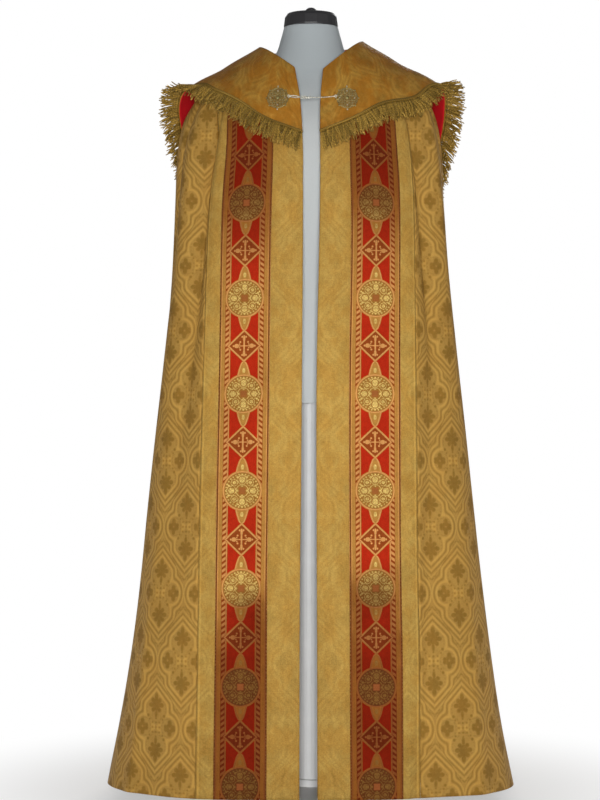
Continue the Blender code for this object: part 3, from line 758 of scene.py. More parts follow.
def damask(name, colours, ground, contrast, sparkle, blotches, seam=0.0):
    """Silk damask: the figure is the same thread turned the other way, darker and duller."""
    made = Finish(name, 0.50, specular=0.32, gloss=WARM_GLOSS)
    x, y = made.cloth()
    shapes, lines, light = damask_figure(x, y)
    worn = made.noise(x, y, 8.0, 8.0, 3.0, 0.65, 3.1)
    figure = shapes.max(lines * 0.62) * (worn * 0.7 + 0.60)
    cloudy = made.noise(x, y, 55.0, 80.0, 4.0, 0.6, 7.7)
    streak = made.noise(x, y, 1.3, 60.0, 2.0, 0.6, 1.3)
    weft = made.noise(x, y, 60.0, 1.1, 2.0, 0.6, 5.9)
    grain = made.noise(x, y, 2.4, 2.4, 2.0, 0.7, 9.2)
    mottle = made.noise(x, y, 8.0, 13.0, 2.0, 0.65, 6.6)
    warm = made.noise(x, y, 26.0, 34.0, 3.0, 0.6, 2.6).below(0.51, 0.17)
    figured = (figure * contrast).min(1.0)
    colour = made.blend(figured, tuple(ground), tuple(colours.figure))
    tanned = tuple(c * share for c, share in zip(ground, (0.86, 0.66, 0.40)))
    colour = made.blend(warm * blotches, colour, tanned)
    tone = cloudy * (0.20 + blotches * 0.5) + streak * 0.18 + weft * 0.14 + grain * sparkle
    tone = tone + light * (0.26 * contrast) + mottle * (0.22 + blotches * 0.3)
    if seam:
        # A painted highlight makes a paler line along the ridge at the band's outer edge, and
        # painted shade darkens the band away from 780 mm above the hem, as if the light falls off
        # along it.
        tone = tone + (x - seam * 1000.0).abs().below(1.6, 1.4) * (cloudy * 0.5 + 0.05)
        tone = tone - (y - 780.0).abs() * 0.00022 + 0.03
    average = (0.42 + blotches * 0.8 + 0.32 + sparkle) * 0.5
    made.shade(colour, tone + (1.0 - average))
    made.drive("Roughness", figure * 0.12 + grain * 0.16 + 0.50)
    height = threads(x, y, 1.05) * 0.35 + figure * (-0.35 * contrast) + light * 0.3
    made.relief(height + grain * 0.5 + streak * 0.25, 0.00050)
    return made.material


def damask_reverse(name, colours):
    """The duller inner face of the damask, with its floats showing."""
    made = Finish(name, 0.7, specular=0.25, gloss=WARM_GLOSS)
    x, y = made.cloth()
    shapes, lines, _ = damask_figure(x, y)
    weft = made.noise(x, y, 40.0, 1.4, 3.0, 0.6, 2.2)
    cloudy = made.noise(x, y, 60.0, 60.0, 2.0, 0.5, 4.7)
    floats = shapes.max(lines) * 0.55
    colour = made.blend(floats, darker(colours.figure, 0.95), darker(colours.ground, 0.55))
    made.shade(colour, weft * 0.5 + cloudy * 0.3 + 0.6)
    made.drive("Roughness", weft * 0.2 + 0.6)
    made.relief(weft * 0.6 + threads(x, y, 1.2) * 0.4, 0.0005)
    return made.material


GALLOON_REPEAT = 185.7
GALLOON_START = 24.4
GALLOON_HALF = GALLOON_REPEAT / 2
GALLOON_EDGE = 0.55  # softness of the woven shapes' edges
PETAL_IN, PETAL_SLANT = GALLOON_HALF - 21.0, 15.4
CROSS = [
    (0.0, 14.0, 2.4, 6.0), (14.6, 0.0, 4.8, 4.2), (0.0, 0.0, 2.4), (3.6, 17.5, 1.9),
    (20.5, 0.0, 1.9), (7.5, 7.5, 1.8), (9.0, 3.6, 1.3),
]
PETALS = [
    (0.0, PETAL_IN, 5.6, 6.6), (21.0, GALLOON_HALF, 6.4, 5.6),
    (PETAL_SLANT, GALLOON_HALF - PETAL_SLANT, 3.4), (0.0, GALLOON_HALF - 9.0, 2.0),
    (9.0, GALLOON_HALF, 2.0), (9.5, GALLOON_HALF - 26.0, 2.1),
    (26.0, GALLOON_HALF - 9.5, 2.1), (0.0, 47.5, 3.2, 5.0),
]
# Rings of the roundel: x, y, radius and the half width of the ring's line.
ROUNDEL_RINGS = [
    (0.0, PETAL_IN, 8.6, 0.8), (21.0, GALLOON_HALF, 8.8, 0.8),
    (PETAL_SLANT, GALLOON_HALF - PETAL_SLANT, 6.2, 0.8), (0.0, GALLOON_HALF, 11.5, 0.7),
]


def galloon_cloth(name, colours, width):
    """Roundels of metal thread and crossed lozenges on red, between borders of slanted dashes."""
    made = Finish(name, 0.45, specular=0.12, gloss=(1.0, 0.40, 0.12))
    soft = GALLOON_EDGE
    x, along = made.cloth()
    x = (x - width * 500.0).abs()
    y = (along - (GALLOON_START + GALLOON_HALF)).wrap(GALLOON_REPEAT).abs()
    spot = Spot(x, y)

    lozenge = x * 0.6893 + (y * 0.7244 - 21.4)
    lancet = x - ((y - 30.5).max(0.0) * (1.0 / 24.0)).op("SQRT") * 10.5
    arch = lancet.max(y - 58.0).max(31.0 - y)
    roundel = spot.blob(0.0, GALLOON_HALF, 36.0)
    off_roundel = roundel.below(2.4, soft).invert()
    outside = lozenge.below(2.0, soft).invert() * off_roundel
    red = outside * lancet.below(1.8, soft).invert() * x.below(27.0, soft)
    lancet_span = y.below(58.0, 1.0) * y.below(31.0, 0.6).invert()
    lines = most(
        [
            lozenge.line(0.0, 1.35, soft),
            lancet.line(0.0, 1.35, soft) * lancet_span,
            roundel.line(0.0, 1.3, soft),
            x.line(28.6, 0.9, soft) * outside,
            x.line(45.2, 0.7, soft),
            x.below(49.0, 0.4).invert(),
        ]
    )
    dash = (along + x * 0.7).wrap(GALLOON_REPEAT / 18).abs().below(2.7, 0.7)
    ladder = dash * x.line(33.6, 3.6, 0.7) * outside
    edge = x.line(47.6, 1.1, 0.4)
    bars = (x.max(y - 19.0) - 1.5).min(y.max(x - 12.0) - 0.9)
    cross = spot.blobs(CROSS).min(bars).below(0.0, soft)
    rings = most([spot.blob(*row[:3]).line(0.0, row[3], soft) for row in ROUNDEL_RINGS])
    bead_turn = (x.op("ARCTAN2", y - GALLOON_HALF) * (32 / TURN)).wrap(1.0).abs() * 6.1
    bead_reach = roundel + (36.0 - 31.4)
    bead = (bead_turn * bead_turn + bead_reach * bead_reach).op("SQRT").below(1.6, soft)
    check = x.max((y - GALLOON_HALF).abs()).below(6.0, soft)
    in_roundel = roundel.below(-1.0, soft)
    in_lozenge = lozenge.below(-1.4, soft)
    petals = spot.blobs(PETALS).below(0.0, soft)
    gold = most([petals, rings, bead]) * in_roundel.max(arch.below(-1.0, soft))

    glint = made.noise(x, y, 1.5, 1.5, 2.0, 0.75, 8.8)
    slow = made.body_noise(120.0, 2.0, 0.5)
    threads_seen = made.noise(x, y, 0.9, 14.0, 2.0, 0.6, 4.4)
    tufts = made.noise(x, along, 7.0, 7.0, 2.0, 0.6, 12.5)
    # Painted light: the middle of the length is painted lit, with bright metal thread and bright
    # red, and the two ends are painted in shade, darker and duller.
    wear_and_painted_light = (along + slow * 260.0 - 865.0).abs().below(360.0, 120.0)
    brown = made.blend(wear_and_painted_light, (0.110, 0.014, 0.004), (0.250, 0.050, 0.010))
    ochre = made.blend(wear_and_painted_light, (0.220, 0.075, 0.013), (0.400, 0.190, 0.040))
    pale = made.blend(wear_and_painted_light, (0.210, 0.062, 0.016), (0.600, 0.280, 0.085))
    fields = made.blend(wear_and_painted_light, darker(colours.galloon_red, 0.46), tuple(colours.galloon_red))
    metal = made.blend(wear_and_painted_light, (0.190, 0.095, 0.022), tuple(colours.galloon_gold))
    medal = made.blend(wear_and_painted_light, (0.100, 0.030, 0.008), (0.300, 0.135, 0.026))
    inside = most([in_roundel, in_lozenge, x.line(33.0, 5.0, 0.6) * off_roundel])
    speckled = glint.below(0.47, 0.10).invert() * 0.72 + 0.16
    bright = gold * speckled * (tufts.below(0.36, 0.14).invert() * 0.7 + 0.3)
    colour = ochre
    for share, over in (
        (inside, brown),
        (in_roundel, medal),
        (red, fields),
        (ladder * 0.9, pale),
        (edge, (0.15, 0.040, 0.012)),
        (lines * 0.9, pale),
        (check * 0.7, (0.30, 0.085, 0.025)),
        (cross * in_lozenge, pale),
        (bright, metal),
    ):
        colour = made.blend(share, colour, over)
    # Painted reflections: the slow large noise lightens and darkens the galloon from place to place,
    # as its threads would catch the light.
    made.shade(colour, glint * 0.9 + threads_seen * 0.5 + slow * 0.5 + tufts * 0.3 - 0.19)
    # The metal thread is made metallic only in the painted lit middle.
    made.drive("Metallic", bright * wear_and_painted_light * 0.45)
    made.drive("Roughness", bright * -0.12 + glint * 0.25 + 0.34)
    height = gold * 0.5 + lines * 0.4 + threads(x, y, 1.2) * 0.35 + glint * 0.4 + red * -0.15
    made.relief(height, 0.0007)
    return made.material


def red_satin(name, colours):
    """Satin lining with a fine weft and soft hollows."""
    made = Finish(name, 0.34, gloss=(1.0, 0.35, 0.30))
    x, y = made.cloth()
    weft = made.noise(x, y, 30.0, 1.0, 2.0, 0.6, 2.9)
    cloudy = made.noise(x, y, 26.0, 40.0, 2.0, 0.5, 6.4)
    base = made.blend(cloudy, tuple(colours.satin), darker(colours.satin, 0.62))
    made.shade(base, weft * 0.3 + 0.85)
    made.drive("Roughness", weft * 0.12 + 0.25)
    made.relief(weft * 0.5 + cloudy * 1.5, 0.0006)
    return made.material


def twisted_thread(name, colour, turns):
    """Twisted thread: slanting plies along each strand, and each strand a little different."""
    made = Finish(name, 0.5, 0.25, gloss=(1.0, 0.78, 0.42))
    u, w = made.uv()
    ply = (u + w * turns).sine(1.0) * 0.5 + 0.5
    random = add_node(made.tree, "TexWhiteNoise", {}, noise_dimensions="1D")
    made.tree.links.new(u.op("FLOOR").socket, random.inputs["W"])
    each = Field(made.tree, random.outputs["Value"])
    # Painted shade: the grooves between the plies are darker; each strand also has its own tone.
    base = made.blend(ply * 0.7 + each * 0.3, darker(colour, 0.42), tuple(colour))
    made.shade(base, each * 0.7 + 0.68)
    made.drive("Roughness", ply * -0.15 + 0.55)
    made.relief(ply, 0.0004)
    return made.material


def antique_metal(name, colour, metallic=0.85):
    """Gilt metal, bright where it is worn and dark in its hollows."""
    made = Finish(name, 0.32, metallic)
    wear_and_painted_light = made.body_noise(2.4, 3.0, 0.6)
    spots = made.body_noise(0.9, 2.0, 0.6)
    dull = wear_and_painted_light.below(0.46, 0.12)
    made.shade(made.blend(dull, tuple(colour), darker(colour, 0.38)), spots * 0.5 + 0.75)
    made.drive("Roughness", wear_and_painted_light * 0.25 + 0.22)
    made.relief(spots, 0.00012)
    return made.material


def pearl(name):
    """Small cloudy beads."""
    made = Finish(name, 0.22, specular=0.6)
    cloudy = made.body_noise(1.6, 2.0, 0.5)
    made.colour(made.blend(cloudy, (0.42, 0.40, 0.31), (0.58, 0.55, 0.44)))
    made.drive("Roughness", cloudy * 0.15 + 0.16)
    return made.material


def jersey(name, colour):
    """Smooth knitted cover with fine vertical ribs, with painted shade at the neck."""
    made = Finish(name, 0.85, sheen=0.15, specular=0.2)
    x, y = made.cloth()
    rib = x.sine(1.6) * 0.5 + 0.5
    course = y.sine(1.1) * 0.5 + 0.5
    cloudy = made.noise(x, y, 60.0, 80.0, 3.0, 0.55, 1.9)
    lint = made.noise(x, y, 3.0, 3.0, 2.0, 0.6, 8.1)
    base = made.blend(cloudy, tuple(colour), darker(colour, 0.93))
    # Painted shade: the cover is darker at the neck, above 1390 mm, and a little darker in the
    # hollows between the ribs.
    neck = y.below(1390.0, 70.0).invert()
    neck_shade_colour = tuple(c * share for c, share in zip(colour, (0.66, 0.69, 0.71)))
    made.shade(made.blend(neck, base, neck_shade_colour), lint * 0.08 + rib * 0.04 + 0.94)
    made.drive("Roughness", lint * 0.1 + 0.8)
    made.relief(rib * course, 0.0003)
    return made.material


def hard_paint(name, colour, rough, peel):
    """Sprayed paint with a faint peel and handling marks."""
    made = Finish(name, rough)
    marks = made.body_noise(35.0, 4.0, 0.65)
    made.colour(made.blend(marks, tuple(colour), darker(colour, 0.86)))
    made.drive("Roughness", marks * 0.2 + (rough - 0.08))
    made.relief(made.body_noise(2.2, 2.0, 0.5), peel)
    return made.material


MADE = {}


def made_once(name, make, *words):
    """Each finish, and the mantle's form, is made once and shared by the pieces that use it."""
    if name not in MADE:
        MADE[name] = make(*words)
    return MADE[name]


def finish_for(name, make, *words):
    return made_once(name, make, name, *words)


def settings(context):
    scene = context.scene
    return made_once("mantle", Mantle, scene.cope_sizes), scene.cope_sizes, scene.cope_colours


def panel_grid(mantle, side, first, last, columns, rows, low, high):
    """Outer and inner grids and UVs between two lengths across, for each ring or for all."""
    v = np.linspace(0.0, HEM, rows)
    first, last = (np.broadcast_to(end, rows)[:, None] for end in (first, last))
    s = first + (last - first) * np.linspace(0.0, 1.0, columns)
    at = s / mantle.ring_length(side, v)[:, None]
    ring = np.repeat(v[:, None], columns, 1)
    outer, inner = (mantle.at(side, at, ring, height) for height in (high, low))
    return outer, inner, mantle.cloth_place(side, at, ring)


# ---- operators
class COPE_OT_bands(bpy.types.Operator):
    """Hang the two plain front bands that the galloons lie on"""

    bl_idname = "cope.bands"
    bl_label = "Hang front bands"

    def execute(self, context):
        mantle, sizes, colours = settings(context)
        # Painted sheen, in part: the bands face the light, so their damask has a lighter ground and
        # a fainter figure than the mantle's; the rest is their plainer cloth.
        face = finish_for(
            "band_damask", damask, colours, tuple(colours.band_ground), 0.24, 0.85, 0.50, 0.192
        )
        reverse = finish_for("damask_reverse", damask_reverse, colours)
        half = sizes.cloth_thickness / 2
        for side, word in SIDE_WORDS.items():
            end = sizes.band_width - SEAM
            grids = panel_grid(mantle, side, 0.0, end, 41, 221, -half, half)
            piece = cloth_piece(f"front_band_cloth_{word}", *grids, [face, reverse], side)
            ride(piece, "band_damask", f"front_band_{word}")
        return {"FINISHED"}


class COPE_OT_mantle(bpy.types.Operator):
    """Hang the side panels and the back panel of the mantle"""

    bl_idname = "cope.mantle"
    bl_label = "Hang mantle"

    def execute(self, context):
        mantle, sizes, colours = settings(context)
        face = finish_for("mantle_damask", damask, colours, tuple(colours.ground), 1.0, 0.34, 0.20)
        reverse = finish_for("damask_reverse", damask_reverse, colours)
        half = sizes.cloth_thickness / 2
        rows = 201
        backs = []
        for side, word in SIDE_WORDS.items():
            length = mantle.ring_length(side, np.linspace(0.0, HEM, rows))
            seam = mantle.band + (length - mantle.band) * SIDE_SEAM_SHARE
            start = mantle.band + SEAM
            grids = panel_grid(mantle, side, start, seam - SEAM, 71, rows, -half, half)
            piece = cloth_piece(f"side_panel_cloth_{word}", *grids, [face, reverse], side)
            ride(piece, "mantle_damask", f"side_panel_{word}")
            backs.append(panel_grid(mantle, side, seam + SEAM, length, 71, rows, -half, half))
        # The back panel's pattern is measured from the centre back, so it hangs straight there.
        right, left = (grids[2][..., 0] for grids in backs)
        right -= right[:, -1:].copy()
        left[:] = left[:, -1:] - left
        grids = [np.concatenate([a, b[:, -2::-1]], axis=1) for a, b in zip(*backs)]
        piece = cloth_piece("back_panel_cloth", *grids, [face, reverse])
        ride(piece, "mantle_damask", "back_panel")
        return {"FINISHED"}


class COPE_OT_galloons(bpy.types.Operator):
    """Sew the woven galloons to the bands, with their edge stitches"""

    bl_idname = "cope.galloons"
    bl_label = "Sew galloons"

    def execute(self, context):
        mantle, sizes, colours = settings(context)
        woven = finish_for("red_gold_galloon", galloon_cloth, colours, sizes.galloon_width)
        thread = finish_for("sewing_thread", twisted_thread, (0.42, 0.22, 0.06), 2.0)
        start = sizes.plain_width
        end = start + sizes.galloon_width
        low = sizes.cloth_thickness / 2 + 0.0003
        high = low + 0.0011
        for side, word in SIDE_WORDS.items():
            outer, inner, uv = panel_grid(mantle, side, start, end, 33, 301, low, high)
            uv[..., 0] -= uv[:, :1, 0]
            piece = cloth_piece(f"galloon_cloth_{word}", outer, inner, uv, [woven], side)
            ride(piece, "galloon", f"galloon_{word}")
            stitches = np.concatenate(
                [self.stitches(mantle, side, s, high) for s in (start + 0.0013, end - 0.0013)]
            )
            radii = np.full(stitches.shape[:2], 0.00032)
            sewn = joined_tubes(f"galloon_stitches_{word}", stitches, radii, thread, 4)
            ride(sewn, "galloon")
        return {"FINISHED"}

    def stitches(self, mantle, side, s, height):
        """One row of stitches, each a short thread raised in its middle."""
        count = int(mantle.rise[side][0, 40] / 0.0052)
        v = np.linspace(0.02, 0.995, count) * HEM
        paths = []
        for share in (-0.28, 0.0, 0.28):
            ring = np.clip(v + (v[1] - v[0]) * share, 0, HEM)
            lift = height + (0.0 if share else 0.00025)
            paths.append(mantle.at(side, s / mantle.ring_length(side, ring), ring, lift))
        return np.stack(paths, 1)


def hood_edge_at(place):
    at = np.interp(place, [row[0] for row in HOOD_EDGE], range(len(HOOD_EDGE)))
    return np.moveaxis(through_rows([row[1:] for row in HOOD_EDGE], at), -1, 0)


def on_hood(mantle, side, place, down, height):
    """Points of the hood. place runs from the front edge to the back, down from neck to edge."""
    edge, lift_mid, lift_edge = hood_edge_at(place)
    v = down * (edge + HOOD_HANG[side] * bump(place - 0.33, 0.12))
    lift_neck = 0.0060
    upper = lift_neck + (lift_mid - lift_neck) * smooth_step(down / 0.5)
    t = np.clip((down - 0.5) / 0.5, 0.0, 1.0)
    lift_edge = lift_edge * (1.0 + HOOD_SPREAD[side] * bump(place - 0.47, 0.10))
    lower = lift_mid + (lift_edge - lift_mid) * t * t * (1.6 - 0.6 * t)
    lift = np.where(down < 0.5, upper, lower)
    ripple = 0.0022 * smooth_step((place - 0.30) / 0.2) * smooth_step((1.0 - place) / 0.05)
    lift = lift + ripple * down * np.sin(place * 31.0 + side)
    lift = lift + 0.0008 * down * wander(place * 6.0, down * 2.0, 5 + side)
    return mantle.at(side, place, v, lift + height, folded=False)


def hood_grids(mantle, places, downs, low, high):
    """Outer and inner grids and UVs of the hood, from one front edge round to the other."""
    halves = []
    place, down = np.meshgrid(places, downs)
    for side in (RIGHT, LEFT):
        top = on_hood(mantle, side, place, down, high)
        under = on_hood(mantle, side, place, down, low)
        across = np.repeat(arc_lengths(top, 1)[len(downs) // 2][None, :], len(downs), 0)
        halves.append((top, under, np.stack([across, arc_lengths(top)], -1)))
    right, left = (half[2][..., 0] for half in halves)
    left[:] = right[:, -1:] * 2 - left
    return [np.concatenate([a, b[:, -2::-1]], 1) for a, b in zip(*halves)]


class COPE_OT_hood(bpy.types.Operator):
    """Lay the hood over the shoulders with its red satin lining"""

    bl_idname = "cope.hood"
    bl_label = "Lay hood"

    def execute(self, context):
        mantle, _, colours = settings(context)
        ground = tuple(colours.hood_ground)
        face = finish_for("hood_damask", damask, colours, ground, 0.52, 0.60, 1.10)
        satin = finish_for("red_satin", red_satin, colours)
        places, downs = np.linspace(0.0, 1.0, 121), np.linspace(0.0, 1.0, 61)
        grids = hood_grids(mantle, places, downs, 0.0, 0.0016)
        piece = cloth_piece("hood_cloth", *grids, [face, face])
        ride(piece, "hood_damask", "hood")
        places, downs = np.linspace(0.0, 1.0, 91), np.linspace(0.0, 0.998, 41)
        grids = hood_grids(mantle, places, downs, -0.0014, -0.0004)
        piece = cloth_piece("hood_lining_satin", *grids, [satin])
        ride(piece, "red_satin", "hood_lining")
        return {"FINISHED"}


STRAND_TAPER = np.array([0.75, 1.0, 1.05, 1.0, 1.0, 1.0, 0.95, 0.72])


class COPE_OT_fringe(bpy.types.Operator):
    """Sew the twisted fringe and its braid header round the hood's edge"""

    bl_idname = "cope.fringe"
    bl_label = "Sew fringe"

    def execute(self, context):
        mantle, sizes, colours = settings(context)
        bullion = finish_for("fringe_thread", twisted_thread, tuple(colours.fringe), 7.0)
        braid = finish_for("header_braid", twisted_thread, darker(colours.fringe, 0.9), 3.0)
        for side, word in SIDE_WORDS.items():
            random = np.random.default_rng(40 + side)
            edge = self.edge(mantle, side)
            paths = np.concatenate([self.strands(edge, sizes, random, n) for n in range(3)])
            radii = random.uniform(0.00095, 0.00135, len(paths))[:, None] * STRAND_TAPER
            piece = joined_tubes(f"fringe_strands_{word}", paths, radii, bullion, 5)
            ride(piece, "fringe", f"hood_fringe_{word}")
            ride(self.header(mantle, side, word, braid), "fringe")
        return {"FINISHED"}

    def edge(self, mantle, side):
        """The hood's edge: lengths, places, points and the ways down, along and out."""
        dense = np.linspace(0.0, 1.0, 1601)
        edge = on_hood(mantle, side, dense, np.ones_like(dense), 0.0012)
        inner = on_hood(mantle, side, dense, np.full_like(dense, 0.94), 0.0012)
        along = unit(np.gradient(edge, axis=0))
        down = unit(edge - inner)
        across = unit(down - along * np.sum(along * down, 1)[:, None])
        out = np.cross(along, across)
        centre = np.stack([np.zeros_like(dense), np.full_like(dense, 0.02), edge[:, 2]], 1)
        out *= np.where(np.sum(out * (edge - centre), 1) < 0, -1.0, 1.0)[:, None]
        return arc_lengths(edge), dense, edge, across, along, out

    def strands(self, edge, sizes, random, layer):
        """One layer of strands that stand out a little and fall, in loose clumps."""
        arc, dense, *rows = edge
        count = int(arc[-1] / sizes.strand_spacing)
        at = np.arange(count) + random.uniform(-0.35, 0.35, count) + 0.33 * layer
        at = np.clip(at / count * arc[-1], 0.0008, arc[-1] - 0.0006)
        root, reach, way, normal = (
            np.stack([np.interp(at, arc, row[:, k]) for k in range(3)], 1) for row in rows
        )
        reach, way, normal = (unit(row)[:, None] for row in (reach, way, normal))
        clump = np.sin(at * TURN / 0.013 + 4 * np.sin(at * 61.0)) + random.normal(0, 0.6, count)
        length = sizes.fringe_length * random.uniform(0.72, 1.10, count)
        stiff = np.clip(0.62 + 0.16 * clump + random.normal(0, 0.12, count), 0.2, 1.0)
        lean = stiff[:, None, None]
        lateral = (0.20 * clump + random.normal(0, 0.24, count))[:, None, None]
        lift = (random.normal(0.05, 0.10, count) + (layer - 1) * 0.05)[:, None, None]
        flare = bump(np.interp(at, arc, dense) - 0.49, 0.10)[:, None, None]
        steps = len(STRAND_TAPER)
        t = np.linspace(0.0, 1.0, steps)[None, :, None]
        fall = np.array([0.0, 0.0, -1.0])
        heading = reach * (lean + 0.25) * (1 - 0.45 * t) + fall * (0.15 + t) * (1.15 - lean)
        heading = heading * (1 - 0.30 * flare) + normal * 0.55 * flare - fall * 0.12 * flare
        heading = unit(heading + way * lateral * t + normal * lift)
        run = np.concatenate([np.zeros((count, 1, 3)), np.cumsum(heading[:, 1:], 1)], 1)
        path = root[:, None] + run * (length[:, None, None] / (steps - 1))
        path = path + normal * (0.0004 + 0.0011 * layer) * (0.4 + 0.6 * t)
        pace = random.uniform(5, 11, count)[:, None]
        wiggle = np.sin(t[..., 0] * pace + random.uniform(0, 6, count)[:, None])
        return path + way * (wiggle * 0.0011 * t[..., 0])[..., None]

    def header(self, mantle, side, word, braid):
        """Two cords worked side by side along the hood's edge."""
        count = 900
        place = np.linspace(0.0, 1.0, count)
        drop = np.maximum(hood_edge_at(place)[0] * 0.062, 0.05)
        lines = []
        for k in range(2):
            wave = 0.0007 * np.sin(np.arange(count) * TURN / 6.0 + k * 1.6)
            down = 1.0 - (0.0010 + 0.0022 * k) / drop
            lines.append(on_hood(mantle, side, place, down, 0.0028 + wave))
        radii = np.full((2, count), 0.00125)
        return joined_tubes(f"fringe_header_{word}", np.stack(lines), radii, braid, 6)


def hood_spot(mantle, side, x, z, height):
    """The hood's point nearest to x and z, and the way that it faces."""
    place, down = np.meshgrid(np.linspace(0.0, 0.4, 161), np.linspace(0.02, 1.0, 121))
    spots = on_hood(mantle, side, place, down, height)
    miss = np.abs(spots[..., 0] - x) + np.abs(spots[..., 2] - z)
    i, j = np.unravel_index(np.argmin(miss), miss.shape)
    across = spots[i, min(j + 8, 160)] - spots[i, max(j - 8, 0)]
    down_way = spots[min(i + 8, 120), j] - spots[max(i - 8, 0), j]
    return spots[i, j], unit(np.cross(across, down_way) * -side)


def ellipse(x, y, radius, stretch=1.0, turn=0.0, steps=28):
    """Points round an ellipse, in two coordinates."""
    a = TURN * np.arange(steps) / steps
    rx, ry = radius * np.cos(a), radius * stretch * np.sin(a)
    cosine, sine = math.cos(turn), math.sin(turn)
    return x + rx * cosine - ry * sine, y + rx * sine + ry * cosine


class Wirework:
    """Collects wires and beads of one piece of metalwork, all in one mesh."""

    def __init__(self, origin=None, normal=None):
        self.origin, self.axes = np.zeros(3), np.eye(3)
        if normal is not None:
            across = unit(np.cross([0.0, 0.0, 1.0], normal))
            self.origin, self.axes = origin, np.stack([across, np.cross(normal, across), normal])
        self.points = []
        self.faces = []
        self.count = 0

    def add(self, points, faces):
        points = np.asarray(points, float).reshape(-1, 3)
        self.points.append(self.origin + points @ self.axes)
        self.faces += [[self.count + i for i in face] for face in faces]
        self.count += len(points)

    def wire(self, spots, radius, closed=False, sides=6):
        spots = np.asarray(spots, float)
        steps = len(spots)
        way = np.gradient(spots, axis=0)
        if closed:
            way = np.roll(spots, -1, 0) - np.roll(spots, 1, 0)
        faces = []
        for i in range(steps if closed else steps - 1):
            low, high = i * sides, (i + 1) % steps * sides
            for j in range(sides):
                k = (j + 1) % sides
                faces.append([low + j, high + j, high + k, low + k])
        if not closed:
            faces.append(list(range(sides)))
            faces.append([(steps - 1) * sides + j for j in reversed(range(sides))])
        self.add(tube_points(spots, unit(way), radius, sides), faces)

    def bead(self, x, y, z, radius, flat=1.0, rings=5, sides=10):
        points = [(x, y, z - radius * flat)]
        for i in range(1, rings):
            polar = math.pi * i / rings
            for px, py in zip(*ellipse(x, y, radius * math.sin(polar), steps=sides)):
                points.append((px, py, z - radius * flat * math.cos(polar)))
        last = len(points)
        points.append((x, y, z + radius * flat))
        faces = []
        for j in range(sides):
            k = (j + 1) % sides
            faces += [[0, 1 + k, 1 + j], [last, last - sides + j, last - sides + k]]
            for low in range(1, 1 + (rings - 2) * sides, sides):
                faces.append([low + j, low + k, low + sides + k, low + sides + j])
        self.add(points, faces)

    def ring(self, x, y, z, radius, wire, stretch=1.0, turn=0.0, steps=28):
        px, py = ellipse(x, y, radius, stretch, turn, steps)
        self.wire(np.stack([px, py, np.full(steps, z)], 1), wire, True)

    def made(self, name, material):
        return make_piece(name, np.concatenate(self.points), self.faces, [material])


MM = 0.001
BROOCH_MM = 0.00082  # the brooch is drawn 61 mm across and made a little smaller


